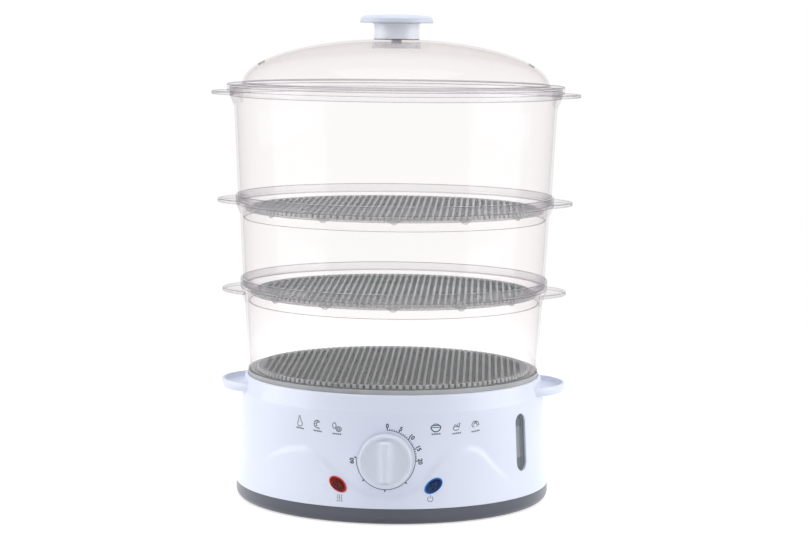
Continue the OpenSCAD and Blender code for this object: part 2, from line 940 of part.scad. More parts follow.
// Each basket is [lower edge z, height, radius at its foot, skirt radius, handle drop]
lower_z = tray_z + seat_gap;
lower_foot_r = rim_inner_r - nest_gap;
function wall_rise(height, seat) = height - seat - collar_depth;
lower_top_r = lower_foot_r + lean_gain(wall_rise(lower_h, 0));
nest_seat = nest_depth - collar_depth + seat_gap;
middle_z = lower_z + lower_h - nest_depth;
middle_foot_r = lower_top_r + collar_step;
middle_top_r = middle_foot_r + lean_gain(wall_rise(middle_h, nest_seat));
upper_z = middle_z + middle_h - nest_depth;
upper_foot_r = middle_top_r + collar_step;
upper_top_r = upper_foot_r + lean_gain(wall_rise(upper_h, nest_seat));
upper_rim_z = upper_z + upper_h;
function collar_r(top_r) = top_r + collar_step + nest_gap + basket_wall;

// A skirt clears the wall of the basket below over the whole nest
function skirt_r(below_top_r) =
    below_top_r - lean_gain(nest_depth - collar_depth) - basket_wall - nest_gap;

module basket_wall_ring(z0, height, foot_r, low_r, seat) {
    z_ledge = z0 + seat;
    z_top = z0 + height;
    z_seat = z_top - collar_depth;
    top_r = foot_r + lean_gain(z_seat - z_ledge);
    out_r = collar_r(top_r);
    in_z = max(z_ledge + basket_wall, z0 + floor_lift + floor_t);
    rotate_extrude()
        polygon([
            [low_r - basket_wall, z0],
            [low_r, z0],
            [low_r, z_ledge],
            [foot_r, z_ledge],
            [top_r - lean_gain(flare_h), z_seat - flare_h],
            [out_r, z_seat - 1],
            [out_r, z_top - 0.6],
            [out_r - 0.6, z_top],
            [out_r - basket_wall, z_top],
            [out_r - basket_wall, z_seat],
            [top_r - basket_wall, z_seat],
            [foot_r - basket_wall, in_z],
            [low_r - basket_wall, in_z],
            [low_r - basket_wall, z0 + floor_lift],
            [low_r - basket_wall - floor_ledge, z0 + floor_lift],
            [low_r - basket_wall - floor_ledge, z0 + floor_lift - 1],
            [low_r - basket_wall, z0 + floor_lift - 1 - floor_ledge]
        ]);
}

// The floor lies on the ledge inside the wall
module basket_floor(z, r) {
    reach = floor(r / hole_pitch);
    hole_limit = r - floor_ledge - 1;
    translate([0, 0, z])
        linear_extrude(floor_t)
            difference() {
                circle(r = r);
                for (i = [-reach:reach], j = [-reach:reach])
                    if (norm([abs(i) * hole_pitch + hole_side / 2,
                              abs(j) * hole_pitch + hole_side / 2]) < hole_limit)
                        translate([i * hole_pitch, j * hole_pitch])
                            square(hole_side, center = true);
            }
}

// Small points under the floor's edge, where drips gather
module drip_points(z, r) {
    drip_h = 3;
    drip_w = 11;
    drip_t = 1.6;
    for (i = [0:drip_count - 1])
        rotate([0, 0, i * 360 / drip_count])
            translate([0, -r, z])
                rotate([90, 0, 0])
                    linear_extrude(drip_t)
                        polygon([[-drip_w / 2, bite], [-drip_w / 2, 0], [-1, -drip_h],
                                 [1, -drip_h], [drip_w / 2, 0], [drip_w / 2, bite]]);
}

lug_web = 1.6;
lug_lip_h = 2.8;
lug_lip_w = 3;

// Two crescent handles with a raised lip and two small gussets under each
module basket_lugs(top_z, top_r, drop) {
    out_r = collar_r(top_r);
    z1 = top_z - drop;
    gusset = 8;
    gusset_t = 1.6;
    gusset_r = out_r - 0.2;
    for (side = [0, 180])
        rotate([0, 0, side])
            difference() {
                union() {
                    difference() {
                        crescent(out_r, lug_reach, lug_w, 0, z1 - lug_lip_h, z1);
                        crescent(out_r, lug_reach, lug_w, lug_lip_w, z1 - lug_lip_h + lug_web, z1 + cut);
                    }
                    for (angle = [-12, 12])
                        rotate([90, 0, angle])
                            translate([0, 0, -gusset_t / 2])
                                linear_extrude(gusset_t)
                                    polygon([
                                        [top_r - 2, z1 - lug_lip_h + bite],
                                        [gusset_r, z1 - lug_lip_h + bite],
                                        [gusset_r, z1 - lug_lip_h],
                                        [top_r, z1 - lug_lip_h - gusset],
                                        [top_r - 2, z1 - lug_lip_h - gusset]
                                    ]);
                }
                cylinder(r = top_r - basket_wall * 0.6, h = top_z);
                translate([0, 0, top_z - collar_depth])
                    cylinder(r = out_r - basket_wall / 2, h = collar_depth);
            }
}

module basket(z0, height, foot_r, low_r, seat, drop) {
    top_r = foot_r + lean_gain(wall_rise(height, seat));
    color(clear_plastic) {
        basket_wall_ring(z0, height, foot_r, low_r, seat);
        basket_lugs(z0 + height, top_r, drop);
    }
}

module floor_grid(z0, low_r) {
    in_r = low_r - basket_wall;
    color([0.86, 0.85, 0.86, 0.5]) {
        basket_floor(z0 + floor_lift, in_r - floor_gap);
        drip_points(z0 + floor_lift, in_r - floor_ledge - 2.4);
    }
}

module lower_basket() {
    basket(lower_z, lower_h, lower_foot_r, lower_foot_r, 0, lower_lug_drop);
}

module middle_basket() {
    basket(middle_z, middle_h, middle_foot_r, skirt_r(lower_top_r), nest_seat, middle_lug_drop);
}

module upper_basket() {
    basket(upper_z, upper_h, upper_foot_r, skirt_r(middle_top_r), nest_seat, upper_lug_drop);
}

module lower_floor() {
    floor_grid(lower_z, lower_foot_r);
}

module middle_floor() {
    floor_grid(middle_z, skirt_r(lower_top_r));
}

module upper_floor() {
    floor_grid(upper_z, skirt_r(middle_top_r));
}

// ------------------------------------------------------------------ lid

lid_skirt_r = collar_r(upper_top_r) + nest_gap;
lid_r = lid_skirt_r + lid_wall;
dome_r = lid_r - flange_w - lid_wall;
flange_z = upper_rim_z + seat_gap;
dome_z = flange_z + lid_wall;
pad_r = lid_stem_d / 2 + 1;
socket_h = 7;
stud_d = 8;
vent_l = 13;
vent_w = 4.5;
vent_r = dome_r * 0.88;
dome_step = 6;
function dome_h(r, a, b) = b * sqrt(1 - pow(r / a, 2));
pad_z = dome_z + dome_h(pad_r, dome_r, dome_rise);

module lid_shell() {
    in_r = dome_r - lid_wall;
    in_rise = dome_rise - lid_wall;
    edge = acos(pad_r / dome_r);
    steps = floor(edge / dome_step);
    rotate_extrude()
        polygon(concat(
            [
                [lid_skirt_r, flange_z - lid_skirt + lid_wall],
                [lid_r, flange_z - lid_skirt + lid_wall],
                [lid_r, dome_z - 0.8],
                [lid_r - 0.8, dome_z]
            ],
            [for (i = [0:steps]) [dome_r * cos(i * dome_step), dome_z + dome_rise * sin(i * dome_step)]],
            [
                [pad_r, pad_z],
                [stud_d / 2 + 0.2, pad_z],
                [stud_d / 2 + 0.2, pad_z - lid_wall - 1]
            ],
            [[pad_r - 2, pad_z - lid_wall - 1], [pad_r - 2, pad_z - socket_h],
             [pad_r - 0.4, pad_z - socket_h]],
            [[pad_r - 0.4, dome_z + dome_h(pad_r, in_r, in_rise)]],
            [for (i = [steps:-1:0]) [in_r * cos(i * dome_step), dome_z + in_rise * sin(i * dome_step)]],
            [[in_r, flange_z], [lid_skirt_r, flange_z]]
        ));
}

module lid() {
    color(clear_plastic)
        difference() {
            lid_shell();
            for (side = [-1, 1])
                translate([side * vent_r, 0, 0])
                    rotate([0, 0, 90])
                        slot_slab(vent_l, vent_w, dome_z, dome_z + dome_rise);
        }
}

stud_drop = lid_wall + 1;
screw_reach = 14;

module lid_knob() {
    r = lid_knob_d / 2;
    stem_r = lid_stem_d / 2;
    disc_t = 7.6;
    disc_z = pad_z + lid_knob_h - disc_t;
    crown = 1.6;
    edge_r = 2.4;
    color(white_plastic)
        difference() {
            rotate_extrude()
                polygon(concat(
                    [[0, pad_z - stud_drop], [stud_d / 2, pad_z - stud_drop], [stud_d / 2, pad_z],
                     [stem_r, pad_z], [stem_r - 0.6, disc_z - 1], [stem_r + 0.4, disc_z],
                     [r - edge_r, disc_z]],
                    [for (a = [-75:15:75]) [r - edge_r + edge_r * cos(a), disc_z + edge_r + edge_r * sin(a)]],
                    [[r - edge_r, disc_z + 2 * edge_r + 0.2],
                     [r * 0.75, disc_z + disc_t - crown * 0.55],
                     [r * 0.45, disc_z + disc_t - crown * 0.15],
                     [0, disc_z + disc_t]]
                ));
            translate([0, 0, pad_z - stud_drop - cut])
                cylinder(d = screw_d + 2 * screw_gap, h = screw_reach + cut);
        }
}

washer_t = 1;

module lid_washer() {
    z1 = pad_z - stud_drop;
    color(metal)
        tube(18, screw_d + 0.6, z1 - washer_t, z1);
}

module lid_screw() {
    color(metal)
        translate([0, 0, pad_z - stud_drop - washer_t])
            screw(screw_reach - 1);
}

base_shell();
foot_pan();
rubber_feet();
base_screws();
water_tank();
heater_plate();
heater_seal();
heater_clamp();
clamp_screws();
heating_element();
thermostat();
thermal_fuse();
gauge_chamber();
gauge_window();
timer_body();
timer_screws();
timer_shaft();
timer_knob();
heating_lens();
power_lens();
lamp_holders();
neon_lamps();
terminal_block();
inner_wires();
cord_gland();
steam_ring();
drip_tray();
lower_basket();
lower_floor();
middle_basket();
middle_floor();
upper_basket();
upper_floor();
lid();
lid_knob();
lid_washer();
lid_screw();
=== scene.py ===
from math import acos, asin, atan, atan2, cos, degrees, exp, hypot, pi, radians, sin, sqrt, tan

import bmesh
import bpy
from mathutils import Matrix, Vector


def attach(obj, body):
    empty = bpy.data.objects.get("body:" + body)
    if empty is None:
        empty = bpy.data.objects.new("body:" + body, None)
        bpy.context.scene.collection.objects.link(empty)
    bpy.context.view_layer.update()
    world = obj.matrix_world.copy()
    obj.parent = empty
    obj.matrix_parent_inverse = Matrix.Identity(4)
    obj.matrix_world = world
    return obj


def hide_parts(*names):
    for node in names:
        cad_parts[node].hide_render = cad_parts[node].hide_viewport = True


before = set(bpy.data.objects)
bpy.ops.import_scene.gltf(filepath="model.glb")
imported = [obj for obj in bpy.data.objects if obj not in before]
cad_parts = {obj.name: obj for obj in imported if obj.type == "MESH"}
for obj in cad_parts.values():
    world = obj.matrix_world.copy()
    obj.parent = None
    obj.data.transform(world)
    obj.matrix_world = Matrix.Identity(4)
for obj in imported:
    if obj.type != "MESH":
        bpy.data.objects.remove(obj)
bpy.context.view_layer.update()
scene = bpy.context.scene
MM = 0.001
TAU = 2 * pi

# ------ sizes, in mm, as the CAD has them

# Housing and foot pan
LEAN = radians(3.5)
BASE_R, SEAM_Z, BAND_Z, BASE_H = 130.0, 13.5, 89.0, 102.4
SHELL_WALL = 2.4


def wall_r(z):
    return BASE_R - (z - SEAM_Z) * tan(LEAN)


BAND_R = wall_r(BAND_Z)
RIM_R = BAND_R - 2.4
RIM_IN_R = RIM_R - SHELL_WALL
LEDGE_Z = 93.4
EAR_TOP_Z, EAR_T, EAR_REACH, EAR_W = 97.0, 7.5, 20.0, 82.0
PAN_CORNER, PAN_SCREW_R, PAN_SCREW_D, FOOT_R, FOOT_D = 6.5, 112.0, 6.8, 105.0, 18.4
VENT_L, VENT_W, VENT_PITCH = 40.0, 3.5, 8.0

# What the housing carries
DIAL_Z, SHAFT_HOLE_D = 52.0, 8.0
KNOB_R = 21.0
SCREW_R, HEAD_R, SCREW_SIDE, SCREW_SINK = 1.5, 3.1, 22.0, 9.0
LENS_ANGLE, LENS_Z, LENS_TURN = 17.0, 31.4, 35.0
LENS_L, LENS_W = 16.5, 10.0
GAUGE_ANGLE, GAUGE_Z, GAUGE_L, GAUGE_W = 57.0, 57.6, 46.2, 14.0
GLAND_Z, GLAND_D = 28.0, 13.4
HOLE_GAP = 0.4

# Baskets and lid
WALL = 1.8
COLLAR, COLLAR_GAP = 6.5, 1.5
BASKET_TAN = tan(radians(2.8))
SKIRT_H, FLOOR_LIFT, FLOOR_T = 7.9, 8.0, 2.4
LUG_REACH, LUG_W, GUSSET_ANGLE, GUSSET_T = 15.5, 76.0, 12, 1.6
DRIP_COUNT, DRIP_T = 13, 1.6
GRID_PITCH, GRID_HOLE, GRID_BORDER, TEETH = 5.2, 3.2, 2.4, 134
LID_R, LID_IN_R = 139.15, 137.35
FLANGE_Z, DOME_Z, DOME_R, DOME_RISE = 340.0, 341.8, 126.35, 37.4
PAD_Z, PAD_R, PAD_T, BOSS_H, STUD_R = 378.7, 20.2, 2.8, 7.0, 4.0
STEAM_VENT_L, STEAM_VENT_W, STEAM_VENT_X = 13.0, 4.5, DOME_R * 0.88


# ------ mesh helpers

def new_mesh(name, verts, faces):
    """A mesh from points in mm, its normals pointing out."""
    mesh = bpy.data.meshes.new(name)
    mesh.from_pydata([(x * MM, y * MM, z * MM) for x, y, z in verts], [], faces)
    mesh.validate()
    bm = bmesh.new()
    bm.from_mesh(mesh)
    bmesh.ops.remove_doubles(bm, verts=bm.verts, dist=1e-7)
    bmesh.ops.recalc_face_normals(bm, faces=bm.faces)
    bm.to_mesh(mesh)
    bm.free()
    return mesh


def new_object(name, data):
    ob = bpy.data.objects.new(name, data)
    scene.collection.objects.link(ob)
    return ob


def finish_mesh(name, verts, faces, body, mats, smooth, swap=()):
    """A mesh object from points in mm, riding on a body and standing for the CAD nodes in swap."""
    ob = new_object(name, new_mesh(name, verts, faces))
    for look in mats if isinstance(mats, list) else [mats]:
        ob.data.materials.append(M[look])
    shade(ob, smooth)
    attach(ob, body)
    if swap:
        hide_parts(*swap)
    return ob


def shade(ob, angle):
    ob.data.polygons.foreach_set("use_smooth", [True] * len(ob.data.polygons))
    ob.data.set_sharp_from_angle(angle=radians(angle))
    ob.data.update()


class Build:
    """Collects points and faces of several closed shells for one mesh."""

    def __init__(self):
        self.v, self.f, self.m = [], [], []

    def add(self, verts, faces, mat=0):
        """mat is the material's number, or a list with one for each face."""
        n = len(self.v)
        self.v += verts
        self.f += [[i + n for i in face] for face in faces]
        self.m += mat if isinstance(mat, list) else [mat] * len(faces)

    def make(self, name, body, slot, mats, smooth, swap=()):
        ob = finish_mesh(name, self.v, self.f, body, mats, smooth, swap)
        if any(self.m) and len(ob.data.polygons) == len(self.m):
            ob.data.polygons.foreach_set("material_index", self.m)
        return ob


def fillet(points, radius, steps=3):
    """A closed outline with its corners rounded. A point may carry its own radius as a third number."""
    out = []
    n = len(points)
    for i in range(n):
        p = Vector(points[i][:2])
        r = points[i][2] if len(points[i]) > 2 else radius
        a, b = Vector(points[i - 1][:2]) - p, Vector(points[(i + 1) % n][:2]) - p
        if r <= 0 or a.length < 1e-6 or b.length < 1e-6:
            out.append((p.x, p.y))
            continue
        half = a.angle(b) / 2
        if half > radians(86):
            out.append((p.x, p.y))
            continue
        cut = min(r / tan(half), 0.45 * a.length, 0.45 * b.length)
        r = cut * tan(half)
        s, e = p + a.normalized() * cut, p + b.normalized() * cut
        c = p + (a.normalized() + b.normalized()).normalized() * (r / sin(half))
        u, w = s - c, e - c
        turn = u.angle_signed(w) if u.length > 1e-9 else 0
        for k in range(steps + 1):
            t = -turn * k / steps
            out.append((c.x + u.x * cos(t) - u.y * sin(t),
                        c.y + u.x * sin(t) + u.y * cos(t)))
    return out


def round_point(r, a, z=0.0):
    """The point at radius r, a radians round from the front."""
    return r * sin(a), -r * cos(a), z


def revolve(profile, steps):
    """Points and faces of a closed profile [(r, z)] turned round Z."""
    verts, rings = [], []
    for r, z in profile:
        if abs(r) < 1e-6:
            rings.append([len(verts)])
            verts.append((0.0, 0.0, z))
            continue
        ring = range(len(verts), len(verts) + steps)
        verts += [round_point(r, TAU * k / steps, z) for k in range(steps)]
        rings.append(ring)
    faces = []
    n = len(rings)
    for i in range(n):
        a, b = rings[i], rings[(i + 1) % n]
        if len(a) == 1 and len(b) == 1:
            continue
        for k in range(steps):
            k2 = (k + 1) % steps
            if len(a) == 1:
                faces.append([a[0], b[k], b[k2]])
            elif len(b) == 1:
                faces.append([a[k], b[0], a[k2]])
            else:
                faces.append([a[k], b[k], b[k2], a[k2]])
    return verts, faces


def segment_mats(profile, rule, steps):
    """One material number per face of revolve(profile, steps); rule(r, z) names it at a segment's middle."""
    mats = []
    n = len(profile)
    for i in range(n):
        (r0, z0), (r1, z1) = profile[i], profile[(i + 1) % n]
        if abs(r0) < 1e-6 and abs(r1) < 1e-6:
            continue
        mats += [rule((r0 + r1) / 2, (z0 + z1) / 2)] * steps
    return mats


def prism(outline, z0, z1, chamfer=0.0):
    """A closed slab over an outline [(x, y)], its top edge drawn in by a chamfer."""
    n = len(outline)
    cx = sum(p[0] for p in outline) / n
    cy = sum(p[1] for p in outline) / n

    def draw_in(p):
        d = hypot(p[0] - cx, p[1] - cy)
        k = max(0.0, 1 - chamfer / d) if d > 1e-6 else 1
        return cx + (p[0] - cx) * k, cy + (p[1] - cy) * k

    layers = [(z0, False), (z1 - chamfer, False)] + ([(z1, True)] if chamfer else [])
    verts = [(*(draw_in(p) if small else p), z) for z, small in layers for p in outline]
    faces = [list(range(n))[::-1], [len(verts) - n + i for i in range(n)]]
    for layer in range(len(layers) - 1):
        for i in range(n):
            j = (i + 1) % n
            a = layer * n
            faces.append([a + i, a + j, a + n + j, a + n + i])
    return verts, faces


def slot_outline(length, width, steps=14, along="x"):
    """A slot with round ends about its own centre."""
    pts = []
    h = (length - width) / 2
    for side in (1, -1):
        for k in range(steps + 1):
            a = -pi / 2 + pi * k / steps + (0 if side > 0 else pi)
            pts.append((side * h + width / 2 * cos(a), width / 2 * sin(a)))
    return [(y, x) for x, y in pts][::-1] if along == "y" else pts


def round_hole(diameter, steps=14):
    """A circle, drawn as a slot of next to no length."""
    return slot_outline(diameter + 0.001, diameter, steps)


def ellipse(length, width, steps=40):
    return [(length / 2 * cos(TAU * k / steps), width / 2 * sin(TAU * k / steps))
            for k in range(steps)]


def rot(angle, axis="Z"):
    return Matrix.Rotation(angle, 4, axis)


def wall_frame(angle, z, spin=0.0):
    """The frame on the leaning housing wall: X level, Y up the wall, Z straight out of it, in mm."""
    return (rot(radians(angle)) @ Matrix.Translation((0, -wall_r(z), z))
            @ rot(pi / 2 - LEAN, "X") @ rot(radians(spin)))


def evaluated(ob):
    """A copy of an object's mesh as its modifiers or its font make it."""
    bpy.context.view_layer.update()
    return bpy.data.meshes.new_from_object(ob.evaluated_get(bpy.context.evaluated_depsgraph_get()))


def boolean_cut(ob, cutters):
    """Takes closed cutter shells, in mm, out of an object and shades it again."""
    cutter = Build()
    for verts, faces in cutters:
        cutter.add(verts, faces)
    mesh = new_mesh("cutter", cutter.v, cutter.f)
    tool = new_object("cutter", mesh)
    mod = ob.modifiers.new("cut", "BOOLEAN")
    mod.operation, mod.solver, mod.object = "DIFFERENCE", "EXACT", tool
    done = evaluated(ob)
    ob.modifiers.remove(mod)
    ob.data = done
    bpy.data.objects.remove(tool)
    bpy.data.meshes.remove(mesh)
    shade(ob, 40)


def placed(shape, xf):
    verts, faces = shape
    return [tuple(xf @ Vector(p)) for p in verts], faces


# ------ materials

def new_material(name):
    mat = bpy.data.materials.new(name)
    mat.use_nodes = True
    mat.node_tree.nodes.clear()
    return mat, mat.node_tree


def put(nt, socket, value):
    """Sets a socket, or joins it to another one."""
    if isinstance(value, bpy.types.NodeSocket):
        nt.links.new(value, socket)
    else:
        socket.default_value = value


def node(nt, kind, *values, **named):
    """A new node: values fill its inputs in order, named ones an input or a setting of that name."""
    n = nt.nodes.new("ShaderNode" + kind)
    for key, value in named.items():
        label = key.replace("_", " ")
        if label in n.inputs:
            put(nt, n.inputs[label], value)
        else:
            setattr(n, key, value)
    for socket, value in zip(n.inputs, values):
        put(nt, socket, value)
    return n


def coords(nt, stretch=(1, 1, 1)):
    return node(nt, "Mapping", node(nt, "TexCoord").outputs["Object"], Scale=stretch).outputs[0]


def noise(nt, vector, scale, detail, rough=0.5):
    return node(nt, "TexNoise", vector, Scale=scale, Detail=detail, Roughness=rough).outputs["Fac"]


def ramp(nt, fac, low, high, a, b):
    """Maps fac from low..high to a..b, clamped."""
    return node(nt, "MapRange", fac, low, high, a, b).outputs[0]


def calc(nt, operation, a, b):
    return node(nt, "Math", a, b, operation=operation).outputs[0]


def mix(nt, fac, a, b):
    """A shader between two others."""
    return node(nt, "MixShader", fac, a, b).outputs[0]


def colour_mix(nt, fac, a, b):
    m = node(nt, "Mix", fac, data_type="RGBA")
    put(nt, m.inputs[6], (*a, 1))
    put(nt, m.inputs[7], (*b, 1))
    return m.outputs[2]


def bump(nt, height, strength, distance):
    return node(nt, "Bump", Strength=strength, Distance=distance, Height=height).outputs[0]


def plastic(name, colour, dark, rough, grain, bump_mm):
    """Moulded plastic: its colour drifts to dark times itself, its gloss varies, and it has a fine grain."""
    mat, nt = new_material(name)
    v = coords(nt)
    patches = noise(nt, v, 14.0, 4.0)
    drift = colour_mix(nt, ramp(nt, patches, 0.35, 0.7, 0, 1), colour, [c * dark for c in colour])
    p = node(nt, "BsdfPrincipled", Metallic=0.0, IOR=1.5, Base_Color=drift,
             Roughness=ramp(nt, patches, 0.3, 0.75, *rough),
             Normal=bump(nt, noise(nt, v, grain, 2.0), 0.35, bump_mm * MM))
    node(nt, "OutputMaterial", p.outputs[0])
    return mat


def brushed(name, colour, rough=(0.25, 0.45), stretch=(1, 1, 30), scale=60.0):
    """Drawn or rolled metal with fine streaks."""
    mat, nt = new_material(name)
    streaks = noise(nt, coords(nt, stretch), scale, 5.0, 0.6)
    p = node(nt, "BsdfPrincipled", Metallic=1.0,
             Base_Color=colour_mix(nt, streaks, [c * 0.8 for c in colour], colour),
             Roughness=ramp(nt, streaks, 0.3, 0.7, *rough), Normal=bump(nt, streaks, 0.25, 0.02 * MM))
    node(nt, "OutputMaterial", p.outputs[0])
    return mat


def clear(name, face, edge, power, haze, mirror=0.6):
    """Thin clear moulded plastic: it tints what is behind it more where it is seen edge on."""
    mat, nt = new_material(name)
    v = coords(nt)
    smudge = noise(nt, v, 9.0, 5.0, 0.6)
    normal = bump(nt, noise(nt, v, 22.0, 2.0), 0.3, 0.1 * MM)
    facing = node(nt, "LayerWeight", Blend=0.5, Normal=normal).outputs["Facing"]
    tint = colour_mix(nt, calc(nt, "POWER", facing, power), face, edge)
    through = node(nt, "BsdfTransparent", tint).outputs[0]
    shine = node(nt, "BsdfGlossy", Roughness=ramp(nt, smudge, 0.35, 0.75, 0.04, 0.12), Normal=normal)
    schlick = calc(nt, "POWER", facing, 5.0)
    surface = mix(nt, ramp(nt, schlick, 0, 1, 0.04 * mirror, mirror), through, shine.outputs[0])
    veil = node(nt, "BsdfDiffuse", (0.93, 0.92, 0.93, 1)).outputs[0]
    node(nt, "OutputMaterial", mix(nt, ramp(nt, smudge, 0.3, 0.8, haze * 0.6, haze * 1.4), surface, veil))
    return mat


# name: colour, share of it at its darkest, roughness from and to, grain, height of the grain in mm
PLASTICS = {
    "white_plastic": ((0.765, 0.802, 0.925), 0.98, (0.27, 0.33), 700, 0.006),
    "white_knob_plastic": ((0.73, 0.76, 0.85), 0.98, (0.3, 0.36), 900, 0.006),
    # The lid knob's cap and stem are one white: the cap's copy darkened as painted shade, the stem's
    # lightened as painted light against the cap's shadow
    "white_cap_shaded_plastic": ((0.66, 0.69, 0.80), 0.98, (0.3, 0.36), 900, 0.006),
    "white_stem_lit_plastic": ((0.91, 0.935, 1.0), 0.99, (0.3, 0.36), 900, 0.006),
    # A dark painted shadow line in the groove at the lid knob's foot
    "knob_foot_shadow_plastic": ((0.20, 0.18, 0.19), 0.9, (0.15, 0.25), 900, 0.006),
    "grey_pan_plastic": ((0.077, 0.084, 0.11), 0.92, (0.27, 0.34), 1400, 0.02),
    "foot_rubber": ((0.03, 0.03, 0.033), 0.8, (0.6, 0.8), 1500, 0.05),
    "tank_plastic": ((0.66, 0.69, 0.74), 0.95, (0.25, 0.4), 900, 0.01),
    "tray_plastic": ((0.13, 0.15, 0.145), 0.92, (0.3, 0.45), 900, 0.02),
    "red_silicone": ((0.42, 0.07, 0.05), 0.85, (0.5, 0.7), 1200, 0.02),
    "black_plastic": ((0.03, 0.03, 0.035), 0.8, (0.35, 0.5), 1200, 0.02),
    "cream_plastic": ((0.66, 0.62, 0.52), 0.92, (0.4, 0.55), 1000, 0.02),
    "wire_cover": ((0.5, 0.03, 0.025), 0.85, (0.35, 0.5), 1000, 0.02),
    "fuse_ceramic": ((0.7, 0.67, 0.6), 0.9, (0.5, 0.7), 1000, 0.03),
    "print_ink": ((0.03, 0.045, 0.065), 0.85, (0.45, 0.6), 1500, 0.004),
    "menu_print_ink": ((0.03, 0.065, 0.07), 0.85, (0.45, 0.6), 1500, 0.004),
    "chamber_plastic": ((0.58, 0.60, 0.58), 0.9, (0.4, 0.5), 900, 0.02),
    "gauge_end_plastic": ((0.22, 0.27, 0.31), 0.9, (0.4, 0.5), 900, 0.02),
    "gauge_strip_plastic": ((0.50, 0.50, 0.62), 0.95, (0.4, 0.5), 900, 0.01),
}
# name: colour, roughness from and to, stretch and scale of the streaks
METALS = {
    "heater_metal": ((0.74, 0.74, 0.75), (0.22, 0.4), (40, 1, 40), 30),
    "screw_steel": ((0.62, 0.63, 0.65),),
    "clamp_steel": ((0.55, 0.56, 0.57),),
    "element_metal": ((0.3, 0.28, 0.27), (0.4, 0.6)),
    "polished_steel": ((0.92, 0.92, 0.93), (0.12, 0.2)),
}
# name: tint seen from the front, tint seen edge on, power of the change, haze, mirror
CLEARS = {
    "clear_wall_plastic": ((0.998, 0.992, 0.991), (0.95, 0.93, 0.935), 3.0, 0.004, 0.35),
    "clear_dome_plastic": ((0.99, 0.982, 0.98), (0.955, 0.935, 0.93), 3.0, 0.01, 0.25),
    "clear_rim_plastic": ((0.945, 0.943, 0.947), (0.74, 0.735, 0.75), 1.6, 0.025, 0.5),
    # Painted dark lines: a grey tint standing in for the dark refraction along clear rims and edges
    "painted_edge_line_plastic": ((0.66, 0.64, 0.67), (0.40, 0.39, 0.43), 1.0, 0.05, 0.6),
    "clear_floor_plastic": ((0.86, 0.87, 0.87), (0.62, 0.63, 0.645), 1.4, 0.12),
    # Frosted white, also given to the baskets' rim tops as a painted highlight
    "floor_edge_plastic": ((0.86, 0.87, 0.87), (0.8, 0.8, 0.8), 1.4, 0.6),
    # Painted shade: a darker tint for the walls of the grid's holes
    "grid_hole_shade_plastic": ((0.66, 0.69, 0.68), (0.5, 0.53, 0.52), 1.4, 0.12),
    "lid_boss_plastic": ((0.99, 0.98, 0.995), (0.97, 0.96, 0.98), 2.0, 0.3),
    # A hazy grey painted on the lower basket's skirt, standing in for the grey tray and the shade seen
    # through it
    "skirt_painted_grey_plastic": ((0.60, 0.62, 0.635), (0.5, 0.52, 0.53), 1.5, 0.5),
    "gauge_clear_plastic": ((0.90, 0.92, 0.92), (0.6, 0.6, 0.64), 1.5, 0.02),
    "lamp_glass": ((0.9, 0.72, 0.6), (0.6, 0.4, 0.3), 1.5, 0.08),
}
M = {name: plastic(name, *look) for name, look in PLASTICS.items()}
M |= {name: brushed(name, *look) for name, look in METALS.items()}
M |= {name: clear(name, *look) for name, look in CLEARS.items()}


def lens_material(name, rim, shaded_core):
    """Tinted lens, its light painted in: a painted bright rim where light would gather at its edge, a
    painted dark middle, painted glints in place of the light off a faceted inside, and a faint painted glow.
    """
    mat, nt = new_material(name)
    radial = node(nt, "TexCoord").outputs["UV"]
    out_share = node(nt, "SeparateXYZ", radial).outputs["X"]
    cells = node(nt, "TexVoronoi", radial, Scale=7.0).outputs["Distance"]
    # Painted glints: light Voronoi cells added to the colour
    painted_glint = node(nt, "Mix", ramp(nt, cells, 0.45, 0.75, 0, 0.5), data_type="RGBA", blend_type="ADD")
    put(nt, painted_glint.inputs[6], colour_mix(nt, ramp(nt, out_share, 0.82, 0.95, 0, 1), shaded_core, rim))
    put(nt, painted_glint.inputs[7], (*[v * 0.35 for v in rim], 1))
    colour = painted_glint.outputs[2]
    # A faint painted glow in the lens's own colour
    p = node(nt, "BsdfPrincipled", Roughness=0.12, IOR=1.3, Base_Color=colour, Emission_Color=colour,
             Emission_Strength=0.08)
    node(nt, "OutputMaterial", p.outputs[0])
    return mat


# Each lens: the painted lit colour of its rim, then the painted shaded colour of its core
M["red_lens"] = lens_material("red_lens", (0.68, 0.045, 0.03), (0.055, 0.001, 0.001))
M["blue_lens"] = lens_material("blue_lens", (0.018, 0.19, 0.58), (0.0008, 0.006, 0.04))


# The CAD's own solids that stay in sight
for finish, names in {
    "foot_rubber": ["rubber_feet"],
    "screw_steel": ["base_screws", "clamp_screws", "timer_shaft"],
    "tank_plastic": ["water_tank", "steam_ring"],
    "heater_metal": ["heater_plate"],
    "red_silicone": ["heater_seal"],
    "clamp_steel": ["heater_clamp"],
    "element_metal": ["heating_element"],
    "black_plastic": ["thermostat", "cord_gland"],
    "fuse_ceramic": ["thermal_fuse"],
    "chamber_plastic": ["gauge_chamber"],
    "cream_plastic": ["timer_body", "lamp_holders", "terminal_block"],
    "lamp_glass": ["neon_lamps"],
    "wire_cover": ["inner_wires"],
    "tray_plastic": ["drip_tray"],
    "polished_steel": ["lid_washer", "lid_screw"],
}.items():
    for name in names:
        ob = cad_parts[name]
        ob.data.materials.clear()
        ob.data.materials.append(M[finish])
        shade(ob, 30)


# ------ housing

# The raised lower part of the front: its upper edge as (degrees from the front, height)
EDGE = [(-75, 22), (-64, 28), (-54, 38), (-45, 49), (-37, 55), (-30, 56), (-24, 51), (-16, 36.5),
        (-9, 26.5), (0, 22.5), (9, 26), (14, 35.5), (20, 51), (26, 57.6), (32, 58.6), (37, 53.5),
        (43, 40), (50, 29), (58, 22), (75, 16)]
EDGE_DEPTH, EDGE_SOFT = 1.9, 5.0
PANEL_HALF, PANEL_TOP, FADE_FROM, FADE_OVER = 62, 88, 30, 26


def smooth_step(x):
    x = min(1.0, max(0.0, x))
    return x * x * (3 - 2 * x)


